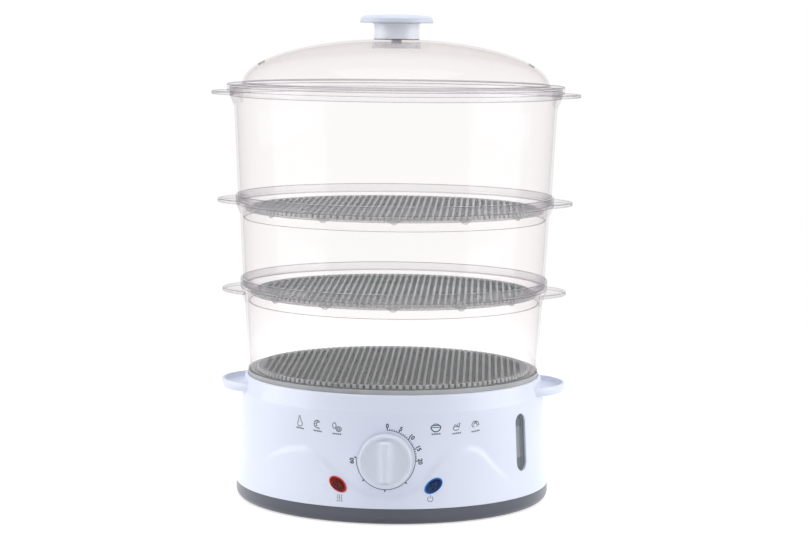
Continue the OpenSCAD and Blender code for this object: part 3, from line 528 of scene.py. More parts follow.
def edge_height(az):
    """Catmull-Rom through EDGE, at az degrees."""
    for i in range(1, len(EDGE) - 2):
        if EDGE[i][0] <= az <= EDGE[i + 1][0]:
            p0, p1, p2, p3 = EDGE[i - 1], EDGE[i], EDGE[i + 1], EDGE[i + 2]
            t = (az - p1[0]) / (p2[0] - p1[0])
            m1 = (p2[1] - p0[1]) / (p2[0] - p0[0]) * (p2[0] - p1[0])
            m2 = (p3[1] - p1[1]) / (p3[0] - p1[0]) * (p2[0] - p1[0])
            return ((2 * t**3 - 3 * t**2 + 1) * p1[1] + (t**3 - 2 * t**2 + t) * m1
                    + (-2 * t**3 + 3 * t**2) * p2[1] + (t**3 - t**2) * m2)
    return 20.0


def relief(az, z):
    """How far the front's upper panel lies behind the plain leaning wall, in mm."""
    if abs(az) > PANEL_HALF or z > PANEL_TOP:
        return 0.0
    side = 1 - smooth_step((abs(az) - FADE_FROM) / FADE_OVER)
    foot = edge_height(az)
    up = smooth_step((z - foot + EDGE_SOFT / 2) / EDGE_SOFT)
    fade = 1 - smooth_step((z - foot) / max(PANEL_TOP - foot, 1))
    return EDGE_DEPTH * side * up * fade


def housing():
    """Outer wall with its relief and band, the rim, the inner ledge and the inner wall."""
    carved_half, front_steps, rear_steps, wall_steps = 65, 160, 49, 54
    columns = [-carved_half + 2 * carved_half * k / front_steps for k in range(front_steps + 1)]
    columns += [carved_half + 4.6 * k for k in range(1, rear_steps + 1)]
    outer = [SEAM_Z + (BAND_Z - 0.8 - SEAM_Z) * k / wall_steps for k in range(wall_steps + 1)]
    ledge_foot, inner_top = LEDGE_Z - 3, LEDGE_Z - 6
    rim = [(BAND_R + 0.02, BAND_Z - 0.35), (BAND_R - 0.12, BAND_Z + 0.25)]
    rim += [(BAND_R - 0.12 - 2.28 * k / 5, BAND_Z + 0.25 + (BASE_H - 1.4 - BAND_Z) * k / 5)
            for k in range(1, 6)]
    rim += [(RIM_R - 0.25, BASE_H - 0.55), (RIM_R - 0.8, BASE_H - 0.08), (RIM_R - 1.3, BASE_H),
            (RIM_IN_R + 0.5, BASE_H), (RIM_IN_R + 0.1, BASE_H - 0.15), (RIM_IN_R, BASE_H - 0.6),
            (RIM_IN_R, LEDGE_Z), (RIM_IN_R - 5, LEDGE_Z), (RIM_IN_R - 5, ledge_foot),
            (wall_r(ledge_foot) - SHELL_WALL, ledge_foot)]
    inner = [inner_top - (inner_top - SEAM_Z) * k / 30 for k in range(31)]
    # (radius, height, whether the relief moves it)
    skin = [(wall_r(z), z, True) for z in outer] + [(r, z, False) for r, z in rim]
    skin += [(wall_r(z) - SHELL_WALL, z, True) for z in inner] + [(BASE_R - SHELL_WALL / 2, SEAM_Z, False)]
    verts = [round_point(r - (relief(az, z) if carved else 0), radians(az), z)
             for az in columns for r, z, carved in skin]
    faces = []
    n, k = len(columns), len(skin)
    for i in range(n):
        j = (i + 1) % n
        for q in range(k):
            w = (q + 1) % k
            faces.append([i * k + q, j * k + q, j * k + w, i * k + w])
    white = "white_plastic"
    ob = finish_mesh("housing", verts, faces, "base", white, 50, swap=("base_shell",))
    holes = [(ellipse(LENS_L + 0.3, LENS_W + 0.3), side * LENS_ANGLE, LENS_Z, side * LENS_TURN)
             for side in (-1, 1)]
    window = slot_outline(GAUGE_L + HOLE_GAP, GAUGE_W + HOLE_GAP, along="y")
    holes += [(window, GAUGE_ANGLE, GAUGE_Z, 0), (round_hole(SHAFT_HOLE_D), 0, DIAL_Z, 0),
              (round_hole(GLAND_D), 180, GLAND_Z, 0)]
    boolean_cut(ob, [placed(prism(outline, -9, 9), wall_frame(*where)) for outline, *where in holes])


housing()


def handle(build, r, reach, width, section, side, bury, mat=0):
    """A handle swept round its arc, sunk bury mm into the wall.

    section holds (inset from the arc, z), with no inset at the wall. mat is one number, or a list with
    one for each side of the section.
    """
    steps = 44
    sag = r + reach - sqrt(r * r - width * width / 4)
    arc = (width * width / 4 + sag * sag) / (2 * sag)
    centre = r + reach - arc
    limit = asin(min(1, (width / 2) / arc))
    verts, faces = [], []
    n = len(section)
    for k in range(steps + 1):
        phi = -limit + 2 * limit * k / steps
        nx, ny = cos(phi), sin(phi)
        ox, oy = centre + arc * nx, arc * ny
        wall_x = sqrt(max(0, (r - bury) ** 2 - oy * oy))
        for inset, z in section:
            x, y = wall_x, oy
            if inset is not None and ox - inset * nx >= wall_x:
                x, y = ox - inset * nx, oy - inset * ny
            verts.append((side * x, side * y, z))
    for k in range(steps):
        for i in range(n):
            j = (i + 1) % n
            faces.append([k * n + i, k * n + j, (k + 1) * n + j, (k + 1) * n + i])
    faces.append(list(range(n))[::-1])
    faces.append([steps * n + i for i in range(n)])
    build.add(verts, faces, mat * steps + mat[:2] if isinstance(mat, list) else mat)


def side_handles():
    """The two crescents at the housing's sides, with a lowered middle."""
    b = Build()
    top, low = EAR_TOP_Z, EAR_TOP_Z - EAR_T
    section = [(0.0, low + 1.6), (0.0, top - 1.2), (0.35, top - 0.35), (1.2, top), (2.0, top),
               (2.7, top - 0.4), (3.1, top - 1.4), (3.3, top - 3.2), (4.2, top - 3.9), (6, top - 4),
               (None, top - 4), (None, low), (1.6, low), (0.5, low + 0.5)]
    for side in (1, -1):
        handle(b, BAND_R - 2.0, EAR_REACH, EAR_W, section, side, 0.2)
    b.make("side_handles", "base", "white_plastic", "white_plastic", 50)


side_handles()


# ------ foot pan

def foot_pan():
    z0, corner, inside_z = 0.4, PAN_CORNER, 3.7
    pts = [(0, z0), (BASE_R - corner - 14, z0)]
    pts += [(BASE_R - corner + corner * sin(radians(a)), z0 + corner - corner * cos(radians(a)))
            for a in range(0, 91, 9)]
    pts += [(BASE_R, SEAM_Z - 0.5), (BASE_R - 0.4, SEAM_Z - 0.05), (BASE_R - 2.9, SEAM_Z - 0.05),
            (BASE_R - 2.9, SEAM_Z + 3.5), (BASE_R - 4.8, SEAM_Z + 3.5), (BASE_R - 4.8, 9.5),
            (BASE_R - 10.4, inside_z), (0, inside_z)]
    verts, faces = revolve(pts, 200)
    ob = finish_mesh("foot_pan_looks", verts, faces, "base", "grey_pan_plastic", 40,
                     swap=("foot_pan",))
    cuts = [placed(prism(slot_outline(VENT_L, VENT_W), 0, 6), Matrix.Translation((0, VENT_PITCH * i, 0)))
            for i in range(-3, 4)]
    for outline, depth, r, angles in ((round_hole(PAN_SCREW_D), 7.5, PAN_SCREW_R, (45, 135, 225, 315)),
                                      (round_hole(FOOT_D, 24), 2.5, FOOT_R, (25, 155, 205, 335))):
        cuts += [placed(prism(outline, 0, depth), Matrix.Translation(round_point(r, radians(a))))
                 for a in angles]
    boolean_cut(ob, cuts)


foot_pan()


# ------ timer knob

def timer_knob():
    """A round knob with a raised ring, a shallow dish and a tapering ridge that melts into the dish."""
    rings, spokes = 64, 200
    top_h, floor_h, ridge_h, ring_in = 12.0, 9.2, 15.9, KNOB_R - 2.9
    head, tail, end_soft, edge_soft = 14.2, 15.6, 2.6, 1.3

    def height(x, y):
        r = hypot(x, y)
        bowl = floor_h + 1.5 * (r / ring_in) ** 2
        h = bowl + (top_h - bowl) * smooth_step((r - ring_in + 0.6) / 1.5)
        if r > KNOB_R - edge_soft:
            h -= edge_soft * ((r - KNOB_R + edge_soft) / edge_soft) ** 2
        t = min(1, max(0, (y + 17) / 34))
        half = 1.3 + 1.7 * t
        d = abs(x) - half
        if d <= 0:
            side = 0.93 + 0.07 * (abs(x) / half) ** 2
        else:
            side = 0.5 * (1 - smooth_step(d / 1.1)) + 0.5 * exp(-((d / 3.2) ** 2))
        end = 1 - smooth_step((y - head if y > 0 else -y - tail) / end_soft)
        crown = ridge_h - 0.0065 * y * y
        return max(h, bowl + (crown - bowl) * side * end)

    circles = [(KNOB_R * k / rings, None) for k in range(1, rings + 1)]
    circles += [(KNOB_R, 10.1), (KNOB_R, 6.0), (KNOB_R, 1.2), (KNOB_R - 0.2, 0.8), (KNOB_R - 2, 0.8),
                (KNOB_R - 2.3, 6.0), (5.6, 6.0), (5.6, 0.9), (3.2, 0.9)]
    verts, faces = [(0, 0, height(0, 0))], []
    for r, z in circles:
        for s in range(spokes):
            a = TAU * s / spokes
            x, y = r * cos(a), r * sin(a)
            verts.append((x, y, height(x, y) if z is None else z))
    count = len(circles)
    for s in range(spokes):
        s2 = (s + 1) % spokes
        faces.append([0, 1 + s, 1 + s2])
        for k in range(count - 1):
            a = 1 + k * spokes
            faces.append([a + s, a + spokes + s, a + spokes + s2, a + s2])
    last = 1 + (count - 1) * spokes
    verts.append((0, 0, 0.9))
    for s in range(spokes):
        faces.append([last + (s + 1) % spokes, last + s, len(verts) - 1])
    verts, faces = placed((verts, faces), wall_frame(0, DIAL_Z))
    finish_mesh("timer_knob_looks", verts, faces, "timer", "white_knob_plastic", 60,
                swap=("timer_knob",))


timer_knob()


def timer_screws():
    """Pan-head screws, short enough to stay behind the carved panel."""
    b = Build()
    for side in (1, -1):
        xf = wall_frame(0, DIAL_Z) @ Matrix.Translation((side * SCREW_SIDE, 0, -SCREW_SINK))
        pts = [(0, -2.2, 0), (1.0, -2.2, 0), (HEAD_R - 1, -2.1, 0.8), (HEAD_R, -0.6, 0.6),
               (HEAD_R, 0, 0.1), (SCREW_R, 0, 0.1)]
        for k in range(6):
            pts += [(SCREW_R, 0.5 + 0.6 * k, 0), (SCREW_R - 0.25, 0.8 + 0.6 * k, 0)]
        pts += [(SCREW_R - 0.6, 4.9, 0), (0, 5.0, 0)]
        b.add(*placed(revolve(fillet(pts, 0.3), 32), xf))
    b.make("timer_screws_looks", "base", "screw_steel", "screw_steel", 40, swap=("timer_screws",))


timer_screws()


# ------ lamps and gauge

def lens(node_name, side, slot):
    """A domed oval lens. UV X runs from the middle (0) to the rim (1)."""
    rings = 12
    outline = ellipse(LENS_L - 0.1, LENS_W - 0.1, 48)
    n = len(outline)
    verts, faces = [(0, 0, 1.2)], []
    for k in range(1, rings + 1):
        t = k / rings
        h = 0.2 + sqrt(max(0, 1 - 0.94 * t**3))
        verts += [(x * t, y * t, h) for x, y in outline]
    verts += [(x, y, -4.2) for x, y in outline]
    for i in range(n):
        j = (i + 1) % n
        faces.append([0, 1 + i, 1 + j])
        for k in range(rings):
            a = 1 + k * n
            faces.append([a + i, a + n + i, a + n + j, a + j])
    faces.append([1 + rings * n + i for i in range(n)][::-1])
    xf = wall_frame(side * LENS_ANGLE, LENS_Z, side * LENS_TURN)
    verts, faces = placed((verts, faces), xf)
    ob = finish_mesh(node_name + "_looks", verts, faces, "base", slot, 40, swap=(node_name,))
    inverse = xf.inverted()
    uv = ob.data.uv_layers.new(name="radial")
    for loop, spot in zip(ob.data.loops, uv.data):
        q = inverse @ (ob.data.vertices[loop.vertex_index].co / MM)
        out_share = hypot(q.x / (LENS_L / 2), q.y / (LENS_W / 2))
        spot.uv = (min(1, out_share), atan2(q.y, q.x) / TAU + 0.5)


lens("heating_lens", -1, "red_lens")
lens("power_lens", 1, "blue_lens")


def gauge():
    """A thin window with chamfered edges, and a plate with dark ends and pale strips behind it."""
    xf = wall_frame(GAUGE_ANGLE, GAUGE_Z)

    def piece(name, shapes, slot, look, swap=()):
        b = Build()
        for shape in shapes:
            b.add(*placed(shape, xf))
        b.make(name, "base", slot, look, 30, swap=swap)

    def upright(length, width):
        return slot_outline(length, width, 16, along="y")

    piece("gauge_window_looks", [prism(upright(GAUGE_L, GAUGE_W), -3.2, -1.4, 0.3)], "gauge_clear",
          "gauge_clear_plastic", ("gauge_window",))
    piece("gauge_plate", [prism(upright(44.4, 12.2), -4.9, -4.3)], "grey_plastic", "chamber_plastic")
    ends = []
    for side in (1, -1):
        cap = [(x, y) for x, y in upright(44.2, 12.0) if side * y > 14] + [(-6, side * 13), (6, side * 13)]
        cap.sort(key=lambda q: atan2(q[1] - side * 15, q[0]))
        ends.append(prism(cap, -4.25, -3.5, 0.2))
    piece("gauge_ends", ends, "dark_plastic", "gauge_end_plastic")
    strips = [prism([(x0, -12.8), (x1, -12.8), (x1, 12.8), (x0, 12.8)], -4.25, -3.9)
              for x0, x1 in ((-5.8, -2.0), (4.4, 5.8))]
    piece("gauge_strips", strips, "grey_plastic", "gauge_strip_plastic")


gauge()


# ------ printing on the housing

INK_TOP, INK_FOOT = 0.05, -0.15
THIN, INK, THICK = 0.4, 0.6, 0.85


class Print:
    """Thin raised ink on the housing: shapes given in mm across and up from a centre on the wall."""

    def __init__(self, az, z, size=1.0):
        self.az, self.z, self.size = az, z, size
        self.b = Build()

    def at(self, x, y, lift):
        """A point of the print, lift mm in front of the carved wall."""
        z = self.z + y * self.size * cos(LEAN)
        az = self.az + degrees(x * self.size / wall_r(z))
        return round_point(wall_r(z) - relief(az, z) + lift, radians(az), z)

    def stroke(self, pts, width=INK, closed=False):
        pts = [Vector(p) for p in pts]
        n = len(pts)
        verts, faces = [], []
        for i, p in enumerate(pts):
            a = pts[i - 1] if (i or closed) else p
            b = pts[(i + 1) % n] if (i < n - 1 or closed) else p
            along = (b - a).normalized()
            half = Vector((-along.y, along.x)) * width / 2 / self.size
            for sign, lift in ((1, INK_TOP), (-1, INK_TOP), (-1, INK_FOOT), (1, INK_FOOT)):
                q = p + half * sign
                verts.append(self.at(q.x, q.y, lift))
        for i in range(n if closed else n - 1):
            j = (i + 1) % n
            for k in range(4):
                w = (k + 1) % 4
                faces.append([i * 4 + k, i * 4 + w, j * 4 + w, j * 4 + k])
        if not closed:
            faces += [[3, 2, 1, 0], [4 * n - 4, 4 * n - 3, 4 * n - 2, 4 * n - 1]]
        self.b.add(verts, faces)
        return self

    def arc(self, cx, cy, rx, ry, a0, a1, width=INK, steps=16):
        """Part of an ellipse, or all of it, between two angles."""
        angles = [radians(a0 + (a1 - a0) * k / steps) for k in range(steps + 1)]
        pts = [(cx + rx * cos(a), cy + ry * sin(a)) for a in angles]
        closed = a1 - a0 == 360
        return self.stroke(pts[:-1] if closed else pts, width, closed)


def add_text(target, text, x, y, turn, size=3.3):
    """Plain numerals about a point of a print, size mm tall."""
    numeral_share, bold = 0.7, 0.055
    curve = bpy.data.curves.new("lettering", "FONT")
    curve.body, curve.size, curve.extrude = text, size / numeral_share, 0.5
    curve.align_x, curve.align_y = "CENTER", "CENTER"
    curve.resolution_u = 3
    curve.offset = bold * size
    ob = new_object("lettering", curve)
    mesh = evaluated(ob)
    c, s = cos(radians(turn)), sin(radians(turn))
    verts = [target.at(x + p.co.x * c - p.co.y * s, y + p.co.x * s + p.co.y * c,
                       INK_TOP if p.co.z > 0 else INK_FOOT) for p in mesh.vertices]
    target.b.add(verts, [list(p.vertices) for p in mesh.polygons])
    bpy.data.objects.remove(ob)
    bpy.data.curves.remove(curve)
    bpy.data.meshes.remove(mesh)


def dial():
    """The timer's scale: minutes 0 to 20 in detail, then four ticks on an arc to 60."""
    p = Print(0, DIAL_Z)
    scale_r, start, per_minute = 23.6, 2.0, 4.5

    def ray(angle, r):
        return r * sin(radians(angle)), r * cos(radians(angle))

    for minute in range(21):
        a = start + minute * per_minute
        length, width = (1.2, 0.62) if minute % 5 else (2.0, 0.8)
        p.stroke([ray(a, scale_r - 0.2), ray(a, scale_r + length)], width)
    p.stroke([ray(start + per_minute * k / 2, scale_r) for k in range(41)], THIN)
    p.stroke([ray(start + 90 + 181 * k / 90, scale_r) for k in range(91)], 0.5)
    for a in (138, 181, 227, 273):
        p.stroke([ray(a, scale_r - 0.1), ray(a, scale_r + 1.8)], 1.0)
    for number in (0, 5, 10, 15, 20):
        a = start + number * per_minute + (1 if number else 0)
        x, y = ray(a, 26.9 + number * 0.03)
        add_text(p, str(number), x, y, -a * 0.9)
    add_text(p, "60", -27.2, -1.6, 90)
    p.b.make("dial_print", "base", "white_plastic", "print_ink", 30)


dial()


def menu_prints():
    """Six plain pictograms of foods, each over a row of dashes, and the signs under the lamps."""
    total = Build()
    menu_size, sign_size = 1.2, 0.8

    def caption(p, tilt):
        """A row of small dashes where the foods' names would be."""
        for k in range(5):
            x = -2.9 + 1.3 * k
            p.stroke([(x, -4.3 + tilt * x), (x + 0.9, -4.3 + tilt * (x + 0.9))], 1.15)
        total.add(p.b.v, p.b.f)

    pear = Print(-33.5, 77.6, menu_size)
    pear.stroke([(-0.3, 3.5), (-1.0, 2.2), (-1.0, 0.8), (-1.9, -0.9), (-1.6, -2.6), (0.2, -3.1),
                 (1.9, -2.3), (2.0, -0.8), (1.0, 0.8), (0.7, 2.2)], closed=True)
    pear.stroke([(-0.9, 4.0), (-0.3, 3.5), (0.5, 4.0)])
    caption(pear, -0.08)
    prawn = Print(-25.9, 76.9, menu_size)
    prawn.arc(-0.2, 0.3, 2.3, 2.5, 60, 290).arc(0.3, 0.3, 1.0, 1.3, 50, 260)
    for a in (90, 135, 180, 225):
        c, q = cos(radians(a)), sin(radians(a))
        prawn.stroke([(0.1 + 1.1 * c, 0.3 + 1.4 * q), (-0.2 + 2.3 * c, 0.3 + 2.5 * q)], THIN)
    prawn.stroke([(0.6, -2.0), (1.9, -2.7), (0.4, -2.9)]).stroke([(0.9, 2.6), (1.9, 1.4)])
    caption(prawn, -0.06)
    eggs = Print(-18.1, 76.0, menu_size)
    eggs.arc(-1.7, 1.1, 1.2, 1.9, 0, 360).arc(1.4, -1.1, 1.9, 1.6, 0, 360)
    eggs.arc(1.4, -1.1, 0.9, 0.7, 0, 360).stroke([(0.2, -1.8), (2.6, -1.6)], THIN)
    caption(eggs, -0.03)
    bowl = Print(18.0, 77.2, menu_size)
    bowl.arc(0, 0.6, 3.4, 3.4, 185, 355, THICK).arc(0, 0.7, 3.4, 0.7, 0, 360)
    bowl.stroke([(-2.6, 1.2), (-1.5, 1.9), (-0.6, 2.5), (0.4, 2.3), (1.5, 2.0), (2.7, 1.2)])
    for x, y in ((-1.2, 1.5), (0.1, 1.8), (1.3, 1.5)):
        bowl.stroke([(x - 0.35, y), (x + 0.35, y + 0.15)], THIN)
    caption(bowl, 0.03)
    crayfish = Print(26.0, 76.9, menu_size)
    crayfish.arc(-0.3, -1.0, 2.2, 1.3, 20, 330)
    crayfish.stroke([(-2.0, 0.4), (-0.9, 1.7), (-0.3, 0.4), (0.7, 1.9), (0.9, 0.2)])
    crayfish.stroke([(1.6, -0.6), (2.1, 1.0), (1.7, 2.6), (2.7, 2.0)])
    caption(crayfish, 0.08)
    fish = Print(33.8, 77.4, menu_size)
    fish.arc(-0.2, 0.2, 2.6, 2.2, 20, 200).arc(-0.2, -0.2, 1.3, 1.3, 10, 170)
    fish.stroke([(2.2, 0.9), (2.8, -0.6), (1.6, 0.0), (0.9, -1.4)])
    fish.stroke([(-2.6, -0.5), (-2.0, -1.6), (-0.9, -0.9)])
    fish.stroke([(-1.2, 2.2), (0.3, 1.5), (1.2, 2.2)])
    caption(fish, 0.1)
    heat = Print(-16.2, 21.2, sign_size)        # three wavy lines over a bar
    for x in (-2, 0, 2):
        heat.stroke([(x + 0.5 * sin(t * 1.1), -2.6 + t * 0.75) for t in range(8)], 0.42)
    heat.stroke([(-3.3, -3.6), (3.3, -3.6)], 0.42)
    power = Print(15.8, 21.2, sign_size)        # an open ring with a stroke
    power.arc(0, 0, 2.7, 2.7, 125, 415, 0.45, 28).stroke([(0, 0.4), (0, 3.6)], 0.45)
    for sign in (heat, power):
        total.add(sign.b.v, sign.b.f)
    total.make("menu_print", "base", "white_plastic", "menu_print_ink", 30)


menu_prints()


# ------ baskets

# The numbers of the materials in BASKET_LOOKS
CLEAR, RIM, PAINTED_LINE, FLOOR, FLOOR_EDGE, SKIRT, HOLE = range(7)
BASKET_LOOKS = ["clear_wall_plastic", "clear_rim_plastic", "painted_edge_line_plastic", "clear_floor_plastic",
                "floor_edge_plastic", "skirt_painted_grey_plastic", "grid_hole_shade_plastic"]


def grid_floor(build, z0, radius):
    """A flat floor of square holes in straight rows, its outer cells fitted to the circle."""
    n = int(radius / GRID_PITCH) + 2
    lines = [i * GRID_PITCH + side * GRID_HOLE / 2 for i in range(-n, n + 1) for side in (-1, 1)]
    index, verts = {}, []

    def corner(i, j, layer):
        key = (i, j, layer)
        if key not in index:
            x, y = lines[i], lines[j]
            d = hypot(x, y)
            if d > radius:
                x, y = x * radius / d, y * radius / d
            index[key] = len(verts)
            verts.append((x, y, z0 + (FLOOR_T if layer else 0)))
        return index[key]

    filled = set()
    for i in range(len(lines) - 1):
        for j in range(len(lines) - 1):
            spots = [hypot(lines[a], lines[b]) for a in (i, i + 1) for b in (j, j + 1)]
            if min(spots) >= radius - 0.05:
                continue
            if i % 2 or j % 2 or max(spots) > radius - GRID_BORDER:
                filled.add((i, j))
    faces, mats = [], []
    for i, j in filled:
        ring = [(i, j), (i + 1, j), (i + 1, j + 1), (i, j + 1)]
        faces.append([corner(a, b, 1) for a, b in ring])
        faces.append([corner(a, b, 0) for a, b in reversed(ring)])
        mats += [FLOOR, FLOOR]
        for (di, dj), (a, b) in (((0, -1), (0, 1)), ((1, 0), (1, 2)), ((0, 1), (2, 3)), ((-1, 0), (3, 0))):
            if (i + di, j + dj) not in filled:
                p, q = ring[a], ring[b]
                faces.append([corner(*p, 0), corner(*q, 0), corner(*q, 1), corner(*p, 1)])
                # the hole's wall takes the darker tint, painted shade in the hole
                mats.append(HOLE)
    build.add(verts, faces, mats)


def edge_teeth(build, z0, radius):
    """Short upright ribs in a ring round the grid's edge."""
    outline = [(-1.35, -1.3), (1.35, -1.3), (1.35, 0.2), (-1.35, 0.2)]
    for i in range(TEETH):
        xf = rot(TAU * i / TEETH) @ Matrix.Translation((0, -radius, 0))
        build.add(*placed(prism(outline, z0 - 0.1, z0 + FLOOR_T + 0.1), xf), FLOOR_EDGE)


def basket_profile(z0, height, foot_r, low_r, seat):
    """A basket's wall with its collar, and the rule for its materials. Its foot nests below z0 + seat."""
    z_ledge, z_top = z0 + seat, z0 + height
    z_seat = z_top - COLLAR
    top_r = foot_r + (z_seat - z_ledge) * BASKET_TAN
    out_r = top_r + COLLAR_GAP + WALL
    in_z = max(z_ledge + WALL, z0 + FLOOR_LIFT + FLOOR_T)
    pts = [(low_r - WALL, z0, 0.3), (low_r, z0, 0.4)]
    if seat:
        pts += [(low_r, z_ledge, 0.3), (foot_r, z_ledge, 0.5)]
    else:
        pts += [(low_r + SKIRT_H * BASKET_TAN, z0 + SKIRT_H, 0)]
    pts += [(top_r - 10 * BASKET_TAN, z_seat - 10, 4), (out_r, z_seat - 1, 2.0),
            (out_r, z_top, 0.7), (out_r - WALL, z_top, 0.5), (out_r - WALL, z_seat, 0.4),
            (top_r - WALL, z_seat, 0.5)]
    if seat:
        pts += [(foot_r - WALL, in_z, 0.5), (low_r - WALL, in_z, 0.4)]
    pts = fillet(pts, 0.4)

    def rule(r, z):
        # The rim's top face takes the frosted white as a painted highlight; its outer fillet, foot and
        # collar bend take the painted dark lines
        if z > z_top - 0.12 and r < out_r - 0.4:
            return FLOOR_EDGE
        if z > z_top - 0.6 or z < z0 + 0.5 or (abs(z - z_seat + 1) < 0.9 and r > out_r - 1.2):
            return PAINTED_LINE
        if z > z_seat - 1.5 or (seat and abs(z - z_ledge) < 0.5):
            return RIM if height < 100 or r > out_r - 0.5 else CLEAR
        # The lower basket's skirt band takes the painted grey
        return SKIRT if not seat and z < z0 + SKIRT_H else CLEAR

    return pts, rule, top_r, out_r


def basket(level, z0, height, foot_r, low_r, seat, drop):
    """A basket's wall with two handles, drop below its top, and the floor that lies in it."""
    name = level + "_basket"
    b = Build()
    profile, rule, top_r, out_r = basket_profile(z0, height, foot_r, low_r, seat)
    b.add(*revolve(profile, 192), segment_mats(profile, rule, 192))
    z1 = z0 + height - drop
    section = [(0.0, z1 - 2.4), (0.0, z1 - 0.4), (0.4, z1), (2.4, z1), (2.8, z1 - 0.4), (2.9, z1 - 0.9),
               (3.3, z1 - 1.2), (None, z1 - 1.2), (None, z1 - 2.8), (0.5, z1 - 2.8)]
    # Painted dark lines and thicker tints along the handle's edges
    section_mats = [RIM, PAINTED_LINE, CLEAR, RIM, CLEAR, RIM, CLEAR, CLEAR, CLEAR, PAINTED_LINE]
    gusset = [(top_r - 0.9, z1 - 2.6), (out_r - 0.2, z1 - 2.6), (out_r - 0.2, z1 - 3.0),
              (top_r, z1 - 10.8), (top_r - 0.9, z1 - 10.8)]
    bury = WALL * (0.5 if drop < COLLAR else 0.9)
    for side in (1, -1):
        handle(b, out_r, LUG_REACH, LUG_W, section, side, bury, mat=section_mats)
        for angle in (-GUSSET_ANGLE, GUSSET_ANGLE):
            xf = rot(radians(angle) + (0 if side > 0 else pi)) @ rot(pi / 2, "X")
            b.add(*placed(prism(gusset, -GUSSET_T / 2, GUSSET_T / 2), xf), RIM)
    b.make(name + "_looks", name, "clear_plastic", BASKET_LOOKS, 40, swap=(name,))
    f = Build()
    grid_r, floor_r, floor_z = low_r - WALL - 6.2, low_r - WALL - 0.2, z0 + FLOOR_LIFT
    grid_floor(f, floor_z, grid_r)
    edge_teeth(f, floor_z, grid_r)
    ring = [(grid_r - 2, z0 + 6.8), (floor_r, z0 + 6.8), (floor_r, floor_z), (grid_r - 2, floor_z)]
    f.add(*revolve(fillet(ring, 0.2), 160), FLOOR)
    drip = fillet([(-5.5, 0.4), (-5.5, 0), (-1.2, -3, 0.8), (1.2, -3, 0.8), (5.5, 0), (5.5, 0.4)], 0.2)
    for i in range(DRIP_COUNT):
        xf = (rot(TAU * i / DRIP_COUNT + radians(2))
              @ Matrix.Translation((0, -(low_r - WALL - 4.2), floor_z)) @ rot(pi / 2, "X"))
        f.add(*placed(prism(drip, 0, DRIP_T), xf), FLOOR)
    floor_node = level + "_floor"
    f.make(floor_node + "_looks", name, "clear_plastic", BASKET_LOOKS, 40, swap=(floor_node,))


basket("lower", 98.2, 84.0, 120.08, 120.08, 0, 9.5)
basket("middle", 162.2, 89.0, 124.87, 120.91, 13.8, 4.5)
basket("upper", 231.2, 108.5, 129.23, 125.27, 13.8, 4.2)


# ------ lid

def lid():
    """A clear dome with a flange, a short skirt, a pad for the knob and two steam vents."""
    steps = 40

    def dome(a, rise, inner_r, ks):
        edge = acos(inner_r / a)
        return [(a * cos(edge * k / steps), DOME_Z + rise * sin(edge * k / steps), 0) for k in ks]

    in_r = DOME_R - WALL
    pts = [(LID_IN_R, FLANGE_Z - 4, 0.4), (LID_R, FLANGE_Z - 4, 0.5), (LID_R, DOME_Z, 0.9),
           (DOME_R + 0.9, DOME_Z, 0.9)]
    pts += dome(DOME_R, DOME_RISE, PAD_R, range(1, steps + 1))
    pts += [(STUD_R + 0.2, PAD_Z, 0.2), (STUD_R + 0.2, PAD_Z - PAD_T, 0.2), (PAD_R - 2, PAD_Z - PAD_T, 0.5),
            (PAD_R - 2, PAD_Z - BOSS_H, 0.4), (PAD_R - 0.4, PAD_Z - BOSS_H, 0.4)]
    pts += dome(in_r, DOME_RISE - WALL, PAD_R - 0.4, range(steps, 0, -1))
    pts += [(in_r, FLANGE_Z, 1.2), (LID_IN_R, FLANGE_Z, 0.4)]
    pts = fillet(pts, 0.4)
    flange, line, shell, boss = range(4)

    def rule(r, z):
        # The flange's outer corners and the dome's foot take the painted dark lines
        if r > LID_R - 1.0 and (z > DOME_Z - 0.7 or z < FLANGE_Z - 3.5):
            return line
        if abs(r - DOME_R - 0.4) < 0.9 and z < DOME_Z + 1.2:
            return line
        if r < PAD_R:
            return boss
        return shell if r < DOME_R else flange

    b = Build()
    b.add(*revolve(pts, 200), segment_mats(pts, rule, 200))
    looks = ["clear_wall_plastic", "painted_edge_line_plastic", "clear_dome_plastic", "lid_boss_plastic"]
    ob = b.make("lid_looks", "lid", "clear_plastic", looks, 40, swap=("lid",))
    vent = prism(slot_outline(STEAM_VENT_L, STEAM_VENT_W, along="y"), DOME_Z + 1, DOME_Z + DOME_RISE)
    boolean_cut(ob, [placed(vent, Matrix.Translation((side * STEAM_VENT_X, 0, 0))) for side in (-1, 1)])
    # The steam vents' side walls take the painted dark line, painted shade in the slots
    for face in ob.data.polygons:
        x, y, _ = face.center / MM
        beside = abs(abs(x) - STEAM_VENT_X) < STEAM_VENT_W / 2 + 0.15 and abs(y) < STEAM_VENT_L / 2 + 0.1
        if abs(face.normal.z) < 0.05 and beside:
            face.material_index = line


lid()


